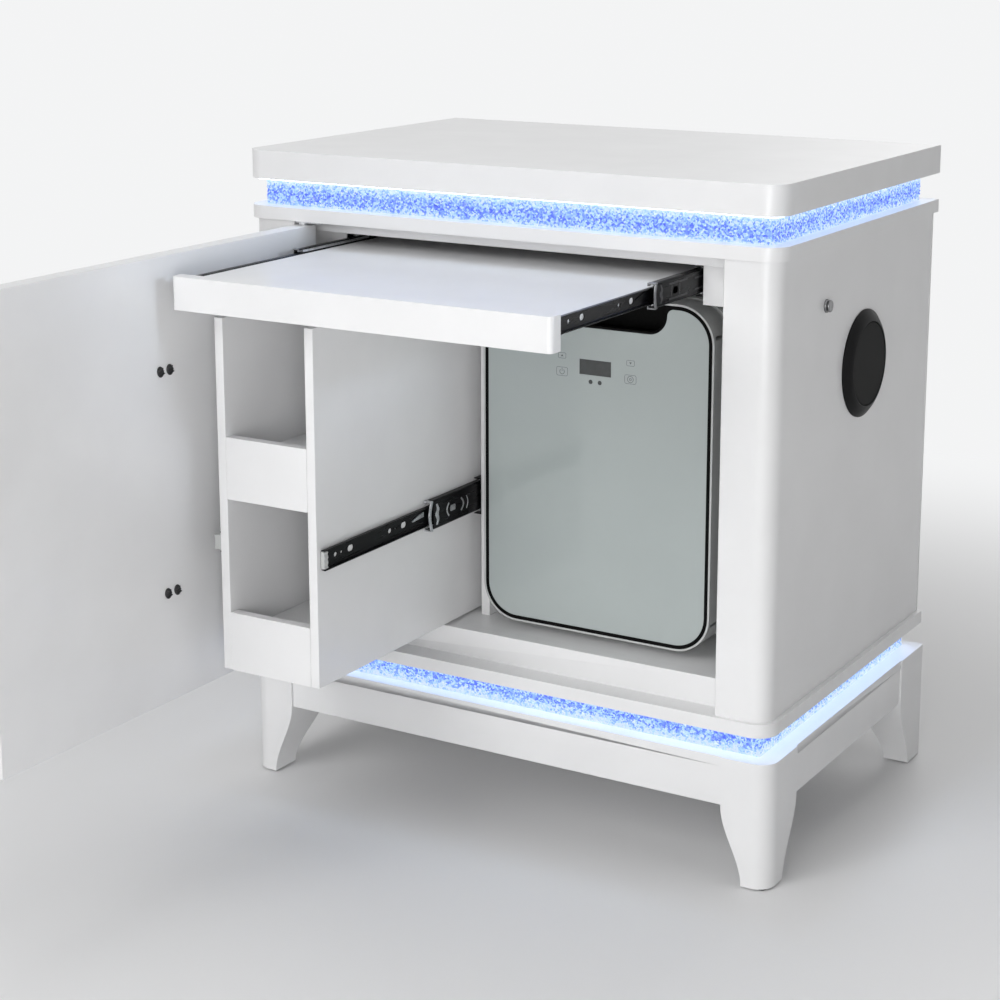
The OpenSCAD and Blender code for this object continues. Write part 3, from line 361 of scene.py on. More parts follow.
LACQUER = lacquer()
# Painted glow by height: lighter towards the bands' edges, where the strips' light falls; the lower drift_low
# dims the lower band's painted glow.
CRYSTALS = {
    "upper": band_crystals("upper", ((0.0, 0.6), (0.16, 0.2), (0.42, 0.03), (0.7, 0.34), (0.95, 1.0)), -0.04),
    "lower": band_crystals("lower", ((0.0, 0.9), (0.2, 0.6), (0.5, 0.12), (0.8, 0.1), (1.0, 0.3)), -0.12),
}
STRIP = light_strip()
STEEL = black_steel()
CLIP_AND_HIGHLIGHT_GREY = clip_and_highlight_grey()
ZINC = zinc()
GREY_ZINC = grey_zinc()
CHROME = chrome()
NICKEL = nickel()
PLASTIC = black_plastic()
CLOTH = speaker_cloth()
RING = speaker_frame()
ENAMEL = enamel()
WHITE_PLASTIC = white_plastic()
RIM = rim_plastic()
GLASS = glass_front()
CLEAR = clear_plastic()
ALUMINIUM = aluminium()
FOAM = foam()
RUBBER = rubber()
WINDOW = dark_window()
BORDER = black_border()
PRINT = printed("print_grey", (0.07, 0.078, 0.075))


# ---- shaping ----
SHARP = math.radians(32)  # edges that turn more than this are rounded
JOIN = 0.00001  # points closer than this are one
NEAR = 0.0002  # places closer than this are alike


def soften(obj, width, segments=2, limit="ANGLE"):
    """Rounds the sharp edges and keeps the flat faces flat in shading, also beside an edge left sharp."""
    if width:
        bevel = obj.modifiers.new("edges", "BEVEL")
        bevel.width = width
        bevel.segments = segments
        bevel.limit_method = limit
        bevel.angle_limit = SHARP
        bevel.miter_outer = "MITER_ARC"
    shade = obj.modifiers.new("shade", "WEIGHTED_NORMAL")
    shade.keep_sharp = limit == "WEIGHT"


def dress(nodes, material, width=0.001, segments=2):
    """Gives CAD nodes their material and rounded edges."""
    for node in nodes.split():
        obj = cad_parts[node]
        for slot in obj.material_slots:
            slot.material = material
        weld = obj.modifiers.new("weld", "WELD")
        weld.merge_threshold = JOIN
        soften(obj, width, segments)


AXES = {"x": (1, 2, 0), "y": (0, 2, 1), "z": (0, 1, 2)}  # where an outline's a, b and depth go


class Solid:
    """Collects closed forms in one mesh, and makes a piece of them."""

    def __init__(self):
        self.bm = bmesh.new()

    def points(self, spots):
        return [self.bm.verts.new(spot) for spot in spots]

    def at(self, axis, a, b, depth):
        spot = [0.0, 0.0, 0.0]
        for value, place in zip((a, b, depth), AXES[axis]):
            spot[place] = value
        return spot

    def prism(self, outline, axis, low, high):
        """An outline drawn across an axis, as thick as low to high."""
        rings = [self.points(self.at(axis, a, b, d) for a, b in outline) for d in (low, high)]
        self.bm.faces.new(rings[0])
        self.bm.faces.new(reversed(rings[1]))
        for i in range(len(outline)):
            j = (i + 1) % len(outline)
            self.bm.faces.new((rings[0][i], rings[0][j], rings[1][j], rings[1][i]))
        return self

    def box(self, low, high):
        outline = [(low[0], low[1]), (high[0], low[1]), (high[0], high[1]), (low[0], high[1])]
        return self.prism(outline, "z", low[2], high[2])

    def lathe(self, profile, axis, centre, steps=64, ring=False):
        """A profile of (radius, depth) turned around an axis through centre. A ring's profile is closed."""
        turns = []
        for radius, depth in profile:
            spots = []
            for i in range(steps if radius > 0 else 1):
                turn = 2 * math.pi * i / steps
                spot = self.at(axis, radius * math.cos(turn), radius * math.sin(turn), depth)
                spots.append(Vector(spot) + Vector(centre))
            turns.append(self.points(spots))
        pairs = list(zip(turns, turns[1:] + turns[:1] if ring else turns[1:]))
        for one, two in pairs:
            for i in range(steps):
                j = (i + 1) % steps
                corners = [one[i % len(one)], one[j % len(one)], two[j % len(two)], two[i % len(two)]]
                face = list(dict.fromkeys(corners))
                if len(face) > 2:
                    self.bm.faces.new(face)
        return self

    def add(self, mesh, matrix):
        """A copy of a ready mesh, moved by a matrix."""
        start = len(self.bm.verts)
        self.bm.from_mesh(mesh)
        self.bm.verts.ensure_lookup_table()
        bmesh.ops.transform(self.bm, matrix=matrix, verts=self.bm.verts[start:])
        return self

    def mirror_x(self, centre):
        """Adds the mirror image, left for right, about the plane x = centre."""
        geometry = self.bm.verts[:] + self.bm.edges[:] + self.bm.faces[:]
        copy = bmesh.ops.duplicate(self.bm, geom=geometry)
        verts = [g for g in copy["geom"] if isinstance(g, bmesh.types.BMVert)]
        flip = Matrix.Translation((2 * centre, 0, 0)) @ Matrix.Scale(-1, 4, (1, 0, 0))
        bmesh.ops.transform(self.bm, matrix=flip, verts=verts)
        return self

    def mesh(self, name):
        bmesh.ops.recalc_face_normals(self.bm, faces=self.bm.faces[:])
        data = bpy.data.meshes.new(name)
        self.bm.to_mesh(data)
        self.bm.free()
        return data

    def cut(self, cutter):
        """The form less the cutter, with the exact solver."""
        body = bpy.data.objects.new("body", self.mesh("body"))
        tool = bpy.data.objects.new("tool", cutter.mesh("tool"))
        for obj in (body, tool):
            bpy.context.scene.collection.objects.link(obj)
        boolean = body.modifiers.new("cut", "BOOLEAN")
        boolean.object = tool
        boolean.solver = "EXACT"
        graph = bpy.context.evaluated_depsgraph_get()
        result = bpy.data.meshes.new_from_object(body.evaluated_get(graph))
        made = Solid().add(result, Matrix.Identity(4))
        for obj in (body, tool):
            bpy.data.objects.remove(obj)
        return made


def piece(name, mesh, body, material, width=0.0, replaces=(), segments=2, limit="ANGLE", smooth=True):
    """Adds a mesh as a piece that rides on a body, and stands in for the nodes it replaces."""
    obj = bpy.data.objects.new(name, mesh)
    bpy.context.scene.collection.objects.link(obj)
    mesh.materials.clear()
    mesh.materials.append(material)
    mesh.polygons.foreach_set("use_smooth", [smooth] * len(mesh.polygons))
    if smooth:
        soften(obj, width, segments, limit)
    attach(obj, body)
    if replaces:
        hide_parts(*replaces)


def shaped(node, width, share, material, body="cabinet", segments=3):
    """A node with edges rounded by width times share(edge middle): 0 where it meets the next board flush."""
    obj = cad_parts[node]
    bm = bmesh.new()
    bm.from_mesh(obj.data)
    bmesh.ops.transform(bm, matrix=obj.matrix_world, verts=bm.verts[:])
    bmesh.ops.remove_doubles(bm, verts=bm.verts[:], dist=JOIN)
    weight = bm.edges.layers.float.new("bevel_weight_edge")
    for edge in bm.edges:
        turns = len(edge.link_faces) == 2 and edge.calc_face_angle() > SHARP
        middle = (edge.verts[0].co + edge.verts[1].co) / 2
        edge[weight] = share(middle) if turns else 0.0
        edge.smooth = not turns or edge[weight] > 0
    mesh = bpy.data.meshes.new(node + "_shaped")
    bm.to_mesh(mesh)
    bm.free()
    piece(node + "_shaped", mesh, body, material, width, (node,), segments, "WEIGHT")


def rounded(a, b, half_a, half_b, r, steps=6):
    """A rectangle with round corners."""
    spots = []
    for quarter, (sign_a, sign_b) in enumerate(((1, 1), (-1, 1), (-1, -1), (1, -1))):
        centre_a, centre_b = a + sign_a * (half_a - r), b + sign_b * (half_b - r)
        for i in range(steps + 1):
            turn = math.pi / 2 * (quarter + i / steps)
            spots.append((centre_a + r * math.cos(turn), centre_b + r * math.sin(turn)))
    return spots


def oval(a, b, half_a, half_b, steps=8):
    """A slot with round ends, or a circle where both halves are alike."""
    r = min(half_a, half_b)
    spots = [(round(p, 7), round(q, 7)) for p, q in rounded(a, b, half_a, half_b, r, steps)]
    return [s for s, t in zip(spots, spots[1:] + spots[:1]) if s != t]


# ---- boards ----
POSTS_LOW, POSTS_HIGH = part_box("front_posts")
BASE_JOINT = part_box("base_top_board")[0].z  # where the base's board lies on legs and rails


def clear_of_posts(spot):
    """Not where a board meets the posts, the plate below them or the ledge above them."""
    level = min(abs(spot.z - POSTS_LOW.z), abs(spot.z - POSTS_HIGH.z)) < NEAR
    return 0.0 if level or abs(spot.y - POSTS_HIGH.y) < NEAR else 1.0


def clear_of_base(spot):
    """Not where the base's board meets the rails."""
    return 0.0 if abs(spot.z - BASE_JOINT) < NEAR else 1.0


def leg_edge(spot):
    """Finer at the legs' tops, below the board."""
    return 0.6 if abs(spot.z - BASE_JOINT) < NEAR else 1.0


dress("top_slab", LACQUER, 0.003, 3)
dress("ledge_board lower_plate", LACQUER, 0.0025, 3)
dress("tray_lip", LACQUER, 0.0035, 4)
dress("back_panel", LACQUER, 0.0)
dress("band_cores", LACQUER, 0.0005)
for name, edge in (("front_posts", 0.0016), ("left_side_panel", 0.0012), ("right_side_panel", 0.0012)):
    shaped(name, edge, clear_of_posts, LACQUER)
for name in ("front_rails", "floor_board"):
    shaped(name, 0.0008, clear_of_posts, LACQUER, segments=2)
for name, edge, share in (
    ("base_top_board", 0.0022, clear_of_base),
    ("legs", 0.0025, leg_edge),
    ("base_rails", 0.0016, clear_of_base),
):
    shaped(name, edge, share, LACQUER)
dress("rack_bay_panels tray_rails tray_board door_panel", LACQUER, 0.001)
dress("rack_sides rack_back rack_front_rails rack_shelves", LACQUER, 0.001)
dress("light_strips", STRIP, 0.0004)
dress("leg_glides", PLASTIC, 0.0005)
dress("cable_grommet control_box", PLASTIC, 0.0008)
dress("speaker_driver", RING, 0.0006)
dress("door_pivots", ZINC, 0.0004)
dress("door_pulls", CHROME, 0.0004)
dress("tray_slide_outers rack_slide_outers", STEEL, 0.0003)
dress("back_panel_screws", ZINC, 0.0006)

# ---- refrigerator ----
dress("fridge_shell", ENAMEL, 0.0006)
dress("fridge_front_frame", ENAMEL, 0.0005)
dress("fridge_insulation", FOAM, 0.0)
dress("fridge_liner fridge_door_liner", WHITE_PLASTIC, 0.0008)
FRAME_LOW, FRAME_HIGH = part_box("fridge_door_frame")


def frame_edge(spot):
    """Wide on the outer front edge of the refrigerator's door frame, and narrow elsewhere."""
    inset = min(spot.x - FRAME_LOW.x, FRAME_HIGH.x - spot.x, spot.z - FRAME_LOW.z, FRAME_HIGH.z - spot.z)
    corner = 0.045  # the frame's rounded corners stay inside this
    past_x = max(FRAME_LOW.x + corner - spot.x, spot.x - FRAME_HIGH.x + corner)
    past_z = max(FRAME_LOW.z + corner - spot.z, spot.z - FRAME_HIGH.z + corner)
    if min(past_x, past_z) > 0:
        inset = corner - math.hypot(past_x, past_z)
    return 1.0 if spot.y < FRAME_LOW.y + NEAR and inset < 0.003 else 0.15


shaped("fridge_door_frame", 0.002, frame_edge, RIM, "fridge_door")
dress("fridge_shelf", CLEAR, 0.0006)
dress("fridge_cooler", ALUMINIUM, 0.0002)
dress("fridge_fan", PLASTIC, 0.0003)
dress("fridge_rear_cover", PLASTIC, 0.0)
dress("fridge_door_backing", BORDER, 0.0002)
dress("fridge_door_glass", GLASS, 0.0003)
dress("fridge_display", WINDOW, 0.0002)
dress("fridge_door_seal", RUBBER, 0.0008)
dress("fridge_hinges", ZINC, 0.0003)


# ---- crystal bands ----
CHIP = 0.0021  # metres from chip to chip
BAND_CORNER = 0.004
BAND_THICK = 0.003


def wrapped(node, radius):
    """Points and outward directions along a band, from its rear left end to its rear right end."""
    low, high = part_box(node)
    half, front, rear = high.x, low.y, high.y
    spots = []
    for sign in (-1, 1):
        side = []
        count = round((rear - front - radius) / CHIP)
        for i in range(count):
            y = rear + (front + radius - rear) * i / count
            side.append((Vector((sign * half, y, 0)), Vector((sign, 0, 0))))
        count = round(math.pi / 2 * radius / CHIP)
        for i in range(count):
            turn = math.pi / 2 * i / count
            out = Vector((sign * math.cos(turn), -math.sin(turn), 0))
            side.append((Vector((sign * (half - radius), front + radius, 0)) + out * radius, out))
        spots.append(side)
    count = round(2 * (half - radius) / CHIP)
    places = [-(half - radius) * (1 - 2 * i / count) for i in range(count + 1)]
    middle = [(Vector((x, front, 0)), Vector((0, -1, 0))) for x in places]
    return spots[0] + middle + spots[1][::-1]


def crystal_band(side, seed):
    """A crust of chipped glass: a jittered grid of flat facets in front of a smooth back."""
    node = side + "_crystal_band"
    rng = random.Random(seed)
    jitter = 0.38 * CHIP
    low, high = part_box(node)
    rows = round((high.z - low.z) / CHIP)
    line = wrapped(node, BAND_CORNER)
    verts, faces = [], []
    for i, (spot, out) in enumerate(line):
        along = Vector((-out.y, out.x, 0))
        ends = i in (0, len(line) - 1)
        for j in range(rows + 1):
            z = low.z + (high.z - low.z) * j / rows
            rim = j in (0, rows)
            shift = 0 if ends else rng.uniform(-jitter, jitter)
            lift = 0 if rim else rng.uniform(-jitter, jitter)
            deep = 0.0006 if rim else rng.uniform(0.0, 0.0019)
            place = spot + along * shift - out * deep
            verts.append((place.x, place.y, z + lift))
        for z in (high.z, low.z):
            place = spot - out * BAND_THICK
            verts.append((place.x, place.y, z))
    ring = rows + 3
    for i in range(len(line) - 1):
        for j in range(ring):
            a, b = i * ring + j, i * ring + (j + 1) % ring
            c, d = b + ring, a + ring
            if j < rows:
                halves = [(a, b, c), (a, c, d)] if rng.random() < 0.5 else [(a, b, d), (b, c, d)]
                faces.extend(halves)
            else:
                faces.append((a, b, c, d))
    faces.append(tuple(range(ring)))
    faces.append(tuple(reversed(range(len(verts) - ring, len(verts)))))
    mesh = bpy.data.meshes.new(node + "_chips")
    mesh.from_pydata(verts, [], faces)
    bm = bmesh.new()
    bm.from_mesh(mesh)
    bmesh.ops.recalc_face_normals(bm, faces=bm.faces[:])
    bm.to_mesh(mesh)
    bm.free()
    piece(node + "_chips", mesh, "cabinet", CRYSTALS[side], replaces=(node,), smooth=False)


crystal_band("upper", 11)
crystal_band("lower", 12)


# ---- side controls ----
SIDE_FACE = 0.350  # the right side panel's outer face


def turned_around(node):
    """The centre of a turned node whose axis is along x."""
    low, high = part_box(node)
    return 0, (low.y + high.y) / 2, (low.z + high.z) / 2


def swell(start, stop, foot, top):
    """(radius, depth) along a convex ring, from radius start at depth foot to radius stop at depth top."""
    steps, bend, peak = 12, 1.25, 0.949  # peak is the sine of bend
    shares = [i / steps for i in range(steps + 1)]
    return [(start + (stop - start) * t, foot + (top - foot) * math.sin(t * bend) / peak) for t in shares]


def speaker():
    """The loudspeaker: a convex ring with a narrow lip, and the cloth inside it."""
    centre = turned_around("speaker_ring")
    low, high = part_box("speaker_ring")
    back, front, outer = low.x, high.x, (high.y - low.y) / 2
    inner = 0.0497
    lip = inner + 0.0018
    cone = [(inner, back), (outer, back), (outer, back + 0.0012), (outer - 0.0004, back + 0.0016)]
    cone += swell(outer - 0.0008, lip, back + 0.0018, front - 0.0003)
    cone += [(lip - 0.0006, front), (inner + 0.0006, front - 0.0001)]
    cone += [(inner + 0.0001, front - 0.0006), (inner, front - 0.002)]
    ring = Solid().lathe(cone, "x", centre, 128, ring=True)
    piece("speaker_cone", ring.mesh("ring"), "cabinet", RING, 0.0, ("speaker_ring",))

    low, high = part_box("speaker_grille")
    back, front, rim = low.x, high.x, (high.y - low.y) / 2 - 0.0001
    flat = rim - 0.001  # inside this the cloth rises by crown
    crown, steps = 0.0003, 6
    disc = [(0, back), (rim, back), (rim, front - 0.0006), (rim - 0.0003, front - 0.0002), (flat, front)]
    for i in range(1, steps + 1):
        disc.append((flat * (1 - i / steps), front + crown * math.sin(math.pi / 2 * i / steps)))
    cloth = Solid().lathe(disc, "x", centre, 128)
    piece("speaker_cloth", cloth.mesh("cloth"), "cabinet", CLOTH, 0.0, ("speaker_grille",))


speaker()


def knob():
    """The push button in its bezel, with the bezel's nut behind the side panel."""
    centre = turned_around("button_bezel")
    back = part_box("button_bezel")[0].x
    bore, neck, nut, rim = 0.0046, 0.006, 0.009, 0.00775  # radii
    thread, front = back + 0.004, SIDE_FACE + 0.0025
    profile = [(bore, back), (neck, back), (nut, back), (nut, thread), (neck, thread), (neck, SIDE_FACE)]
    profile += [(rim, SIDE_FACE), (rim, SIDE_FACE + 0.0016), (rim - 0.0003, SIDE_FACE + 0.0021)]
    profile += [(rim - 0.0009, front), (bore, front)]
    bezel = Solid().lathe(profile, "x", centre, 64, ring=True)
    piece("bezel", bezel.mesh("bezel"), "cabinet", NICKEL, 0.0001, ("button_bezel",))

    low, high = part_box("side_button")
    back, front, under = low.x, high.x, SIDE_FACE + 0.0041
    stem, head, dish_rim, dish = 0.0045, 0.0068, 0.0040, 0.0034  # radii
    profile = [(0, back), (stem, back), (stem, under), (head - 0.0002, under), (head, under + 0.0003)]
    profile += [(head, front - 0.0008), (head - 0.0003, front - 0.0002), (head - 0.0009, front)]
    profile += [(dish_rim, front), (dish, front - 0.0004), (0, front - 0.0005)]
    cap = Solid().lathe(profile, "x", centre, 48)
    piece("button_cap", cap.mesh("cap"), "button", NICKEL, 0.0001, ("side_button",))


knob()


# ---- touch symbols on the refrigerator's glass ----
def curve_piece(name, loops, y, thick, body, material):
    """Flat shapes on the xz plane, from closed loops: an inner loop is a hole."""
    data = bpy.data.curves.new(name, "CURVE")
    data.dimensions = "2D"
    data.fill_mode = "BOTH"
    data.extrude = thick / 2
    for loop in loops:
        spline = data.splines.new("POLY")
        spline.points.add(len(loop) - 1)
        for point, (a, b) in zip(spline.points, loop):
            point.co = (a, b, 0, 1)
        spline.use_cyclic_u = True
    flat = bpy.data.objects.new(name + "_flat", data)
    bpy.context.scene.collection.objects.link(flat)
    graph = bpy.context.evaluated_depsgraph_get()
    mesh = bpy.data.meshes.new_from_object(flat.evaluated_get(graph))
    bpy.data.objects.remove(flat)
    mesh.transform(Matrix.Translation((0, y, 0)) @ Matrix.Rotation(math.radians(90), 4, "X"))
    piece(name, mesh, body, material, smooth=False)


def frame_loops(x, z, half_w, half_h, line):
    """A rounded frame: its outer and inner loops."""
    r = min(half_w, half_h) * 0.45
    return [rounded(x, z, half_w + grow, half_h + grow, r + grow) for grow in (0, -line)]


def ring_loops(x, z, r, line, gap=0.0, steps=40):
    """A ring, or with a gap at its top an open arc."""
    first, last = math.pi / 2 + gap, math.pi * 5 / 2 - gap
    turns = [first + (last - first) * i / steps for i in range(steps + (1 if gap else 0))]

    def arc(radius):
        return [(x + radius * math.cos(turn), z + radius * math.sin(turn)) for turn in turns]

    if gap:
        return [arc(r) + arc(r - line)[::-1]]
    return [arc(r), arc(r - line)]


def bar(x, z, half_w, half_h):
    return [(x + side * half_w, z + end * half_h) for side, end in ((-1, -1), (1, -1), (1, 1), (-1, 1))]


def symbols():
    """Two arrow keys, with a power key and a mode key below them."""
    left, right, upper, lower = 0.054, 0.144, 0.575, 0.556  # the keys' centres
    line, thick = 0.00055, 0.00015
    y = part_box("fridge_door_glass")[0].y - thick / 3
    loops = []
    for x, up in ((left, 1), (right, -1)):
        base, tip = upper - 0.0011 * up, upper + 0.0014 * up
        loops += frame_loops(x, upper, 0.0052, 0.0034, line * 0.7)
        loops.append([(x - 0.0015, base), (x + 0.0015, base), (x, tip)])
        loops += frame_loops(x, lower, 0.0076, 0.0053, line * 0.7)
    loops += ring_loops(left, lower - 0.0002, 0.0033, line * 1.1, 0.7)
    loops.append(bar(left, lower + 0.0023, line * 0.5, 0.0021))
    loops += ring_loops(right, lower, 0.0040, line)
    loops += ring_loops(right, lower, 0.0016, line)
    curve_piece("touch_symbols", loops, y, thick, "fridge_door", PRINT)


symbols()


# ---- slides ----
SHEET = 0.0012  # the members' sheet metal
BEND = 0.0022  # radius of its bends
MIDDLE_SHARE, INNER_SHARE = 0.79, 0.52  # the middle and inner members' height, as shares of the outer one's


def strip_outline(line, thick):
    """The outline of a bent sheet, from its centre line."""
    left, right = [], []
    for i, spot in enumerate(line):
        one = Vector(line[max(i - 1, 0)])
        two = Vector(line[min(i + 1, len(line) - 1)])
        along = (two - one).normalized()
        side = Vector((-along.y, along.x)) * thick / 2
        left.append(tuple(Vector(spot) + side))
        right.append(tuple(Vector(spot) - side))
    return left + right[::-1]


def channel_line(x_web, x_edge, height):
    """Centre line of a channel's section: web at x_web, flanges that reach to x_edge."""
    toward = 1 if x_edge > x_web else -1
    x = x_web + toward * SHEET / 2
    half = height / 2 - SHEET / 2
    steps = 6
    spots = [(x_edge, half)]
    for i in range(steps + 1):
        turn = math.pi / 2 * i / steps
        out, down = BEND - BEND * math.sin(turn), half - BEND + BEND * math.cos(turn)
        spots.append((x + toward * out, down))
    return spots + [(a, -b) for a, b in spots[::-1]]


def member(height, x_web, x_edge, y0, y1, slots):
    """One channel of a slide on a drawer's right side, with slots through its web."""
    body = Solid().prism(strip_outline(channel_line(x_web, x_edge, height), SHEET), "y", y0, y1)
    cutter = Solid()
    for slot in slots:
        cutter.prism(oval(*slot), "x", x_web - 0.002, x_web + 0.002)
    return body.cut(cutter)


def both_sides_of(solid, x0, z0, centre):
    """Moves a slide from its own frame to the drawer's right side, and adds the left one."""
    bmesh.ops.transform(solid.bm, matrix=Matrix.Translation((x0, 0, z0)), verts=solid.bm.verts[:])
    return solid.mirror_x(centre)


def arc_line(y, reach, bow, steps=12):
    """A line from bottom to top that bows forward by bow in its middle."""
    shares = [i / steps - 0.5 for i in range(steps + 1)]
    return [(y - bow * math.cos(math.pi * t), reach * 2 * t) for t in shares]


def guard(solid, x, y, half, bow, wide):
    """The bracket around the front of a middle member: a bowed C, with straps and hooks over the flanges."""
    face, back, rear, over = x + 0.0011, x - 0.008, y + 0.0068, half + 0.0005
    solid.prism(strip_outline(arc_line(y + 0.0045, half - 0.0006, bow), wide), "x", x - 0.0003, face)
    strap = (0.0012, y + 0.0012, face)  # how far in, from which y, up to which x
    hook = (0.0030, y + 0.0002, x - 0.0064)
    for side in (-1, 1):
        for deep, start, stop in (strap, hook):
            low, high = sorted((side * (half - deep), side * over))
            solid.box((back, start, low), (stop, rear, high))


def ribs(y, half):
    """Raised ribs on a middle member's web, as outlines."""
    places = [(y + 0.056, side * half * 0.60, 0.022, 0.0010) for side in (-1, 1)]
    places += [(y + 0.122, side * half * 0.45, 0.026, 0.0009) for side in (-1, 1)]
    return [oval(*place) for place in places]


def stampings(solid, x, y, half, kind):
    """The stamped curves around a middle member's window, and its latch or its ribs: slight relief in the
    clip's lighter metal, which paints the highlights on the stamped edges.
    """
    for along, bow, thick in kind["curves"]:
        solid.prism(strip_outline(arc_line(y + along, half * 0.44, bow), thick), "x", x - 0.0004, x + 0.0005)
    if kind["latch"]:
        solid.box((x - 0.0016, y + 0.0452, -0.0034), (x + 0.0003, y + 0.0552, 0.0034))
    else:
        for outline in ribs(y, half):
            solid.prism(outline, "x", x - 0.0003, x + 0.0006)


# A pair of slides: where the drawer's right web stands (x), its middle height (z) and the pair's centre;
# the inner member's eyes as (from its front, height's offset, half length, half height); how far the guard
# stands ahead, its bow and its width; the curves, painted highlights in the clip's metal,
# as (from the member's front, bow, thickness)
TRAY_SLIDE = {
    "name": "tray_slide", "drawer": "tray",
    "height": 0.035, "x": 0.228, "z": 0.680, "centre": 0.0,
    "eyes": [
        (0.0325, 0.0, 0.0024, 0.0022), (0.060, 0.0, 0.0048, 0.0034),
        (0.139, 0.0, 0.0024, 0.0020), (0.1665, 0.0, 0.0048, 0.0034),
    ],
    "ahead": 0.0003, "bow": 0.0025, "wide": 0.0040,
    "guard": GREY_ZINC, "clip": CLIP_AND_HIGHLIGHT_GREY, "lever": STEEL, "slot": "black_steel",
    "curves": ((0.041, 0.0020, 0.0012), (0.0595, 0.0, 0.0014)), "latch": False,
}
RACK_SLIDE = {
    "name": "rack_slide", "drawer": "rack",
    "height": 0.0455, "x": -0.0855, "z": 0.381, "centre": -0.1525,
    "eyes": [
        (0.0267, 0.0, 0.0030, 0.0025), (0.038, 0.0, 0.0018, 0.0015), (0.0556, 0.0, 0.0055, 0.0036),
        (0.1345, 0.0, 0.0034, 0.0027), (0.1458, 0.0, 0.0012, 0.0010), (0.163, 0.0, 0.0055, 0.0036),
    ],
    "ahead": 0.0080, "bow": 0.0042, "wide": 0.0046,
    "guard": ZINC, "clip": ZINC, "lever": ZINC, "slot": "zinc_steel",
    "curves": ((0.041, 0.0045, 0.0020), (0.068, -0.0055, 0.0024), (0.080, -0.0035, 0.0012)), "latch": True,
}
LAP = 0.0024  # how deep one member of a slide reaches into the next
BALL = 0.0003
MIDDLE_X = 0.0125 - LAP - 2 * BALL  # the middle member's web, from the inner one's
MIDDLE_DEEP = MIDDLE_X - LAP / 3
INNER_DEEP = MIDDLE_DEEP - LAP


def inner_members(kind, pair):
    """The members on the drawer, with eyes through their webs."""
    name, height = kind["name"], kind["height"] * INNER_SHARE
    low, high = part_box(name + "_inners")
    eyes = [(low.y + along, *rest) for along, *rest in kind["eyes"]]
    mesh = pair(member(height, 0, INNER_DEEP, low.y, high.y, eyes)).mesh("inner")
    piece(name + "_inner_channels", mesh, kind["drawer"], STEEL, 0.0002, (name + "_inners",))


def middle_members(kind, pair, front, start, height):
    """The members between drawer and cabinet, with a window near their front and a hole behind it."""
    name = kind["name"]
    window = (start + 0.050, 0.0, 0.0064, 0.0040)
    hole = (front + 0.150, 0.0, 0.005, 0.0024)
    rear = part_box(name + "_middles")[1].y
    solid = member(height, MIDDLE_X, MIDDLE_X - MIDDLE_DEEP, front, rear, [window, hole])
    if kind["latch"]:
        for outline in ribs(start, height / 2):
            solid.prism(outline, "x", MIDDLE_X - 0.0004, MIDDLE_X + 0.0004)
    mesh, body = pair(solid).mesh("middle"), name + "_middle"
    piece(name + "_middle_channels", mesh, body, STEEL, 0.0002, (name + "_middles",))


def clips(kind, pair, start, height):
    """The wavy clips behind the guards, wide in their middle, and the stampings behind them."""
    solid = Solid()
    steps = [i / 20 for i in range(21)]
    wave = [(start + 0.0155 - 0.0012 * math.cos(4 * math.pi * t), height * 0.36 * (2 * t - 1)) for t in steps]
    wide = [0.0016 + 0.0018 * math.sin(math.pi * t) ** 2 for t in steps]
    ahead = [(y - w, z) for (y, z), w in zip(wave, wide)]
    behind = [(y + w, z) for (y, z), w in zip(wave, wide)]
    solid.prism(ahead + behind[::-1], "x", MIDDLE_X - 0.0002, MIDDLE_X + 0.0006)
    stampings(solid, MIDDLE_X, start, height / 2, kind)
    name = kind["name"]
    piece(name + "_clips", pair(solid).mesh("clip"), name + "_middle", kind["clip"], 0.0002)


def levers(kind, pair, start):
    """The release levers that reach out in front of the guards."""
    solid = Solid()
    tip, root = start - 0.0285, start - 0.003
    outline = [(tip, 0.0002), (tip + 0.002, -0.0010), (root, 0.0002), (root, 0.0062), (root - 0.010, 0.0046)]
    solid.prism(outline, "x", SHEET, SHEET + 0.0013)
    mesh = pair(solid).mesh("lever")
    piece(kind["name"] + "_levers", mesh, kind["drawer"], kind["lever"], 0.0002)


def end_blocks(kind):
    """The grey blocks in the inner members' front ends. The left one ends in a bumper beside the rack."""
    front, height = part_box(kind["name"] + "_inners")[0].y, kind["height"] * INNER_SHARE
    steps = [i / 16 for i in range(17)]
    web, tall = SHEET * 0.6, height * 0.44
    block = Solid()
    outline = [
        (INNER_DEEP - 0.0006 + 0.0004 * math.cos(t * math.pi * 6), height * 0.40 * (2 * t - 1)) for t in steps
    ]
    block.prism(outline + [(web, tall), (web, -tall)], "y", front - 0.0008, front + 0.0062)
    blocks = both_sides_of(block, kind["x"], kind["z"], kind["centre"])

    left, z, tall = 2 * kind["centre"] - kind["x"], kind["z"], height * 0.36
    outline = [(left - 0.012 + 0.0008 * math.sin(math.pi * t), z + tall * (1 - 2 * t)) for t in steps]
    outline += [(left - web, z - tall), (left - web, z + tall)]
    blocks.prism(outline, "y", front - 0.0028, front - 0.0002)
    piece(kind["name"] + "_end_blocks", blocks.mesh("blocks"), kind["drawer"], RIM, 0.0003)


def slide(kind):
    """The pulled-out members of a pair of slides, with their guards, clips and levers."""
    def pair(solid):
        return both_sides_of(solid, kind["x"], kind["z"], kind["centre"])

    name, height = kind["name"], kind["height"] * MIDDLE_SHARE
    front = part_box(name + "_middles")[0].y
    start = front - kind["ahead"]
    inner_members(kind, pair)
    middle_members(kind, pair, front, start, height)
    bracket = Solid()
    guard(bracket, MIDDLE_X, start - 0.0018, height / 2, kind["bow"], kind["wide"])
    mesh = pair(bracket).mesh("guard")
    piece(name + "_guards", mesh, name + "_middle", kind["guard"], 0.0002)
    clips(kind, pair, start, height)
    levers(kind, pair, start)


slide(TRAY_SLIDE)
slide(RACK_SLIDE)
end_blocks(RACK_SLIDE)
dress("tray_slide_cages rack_slide_cages", ZINC, 0.0003)


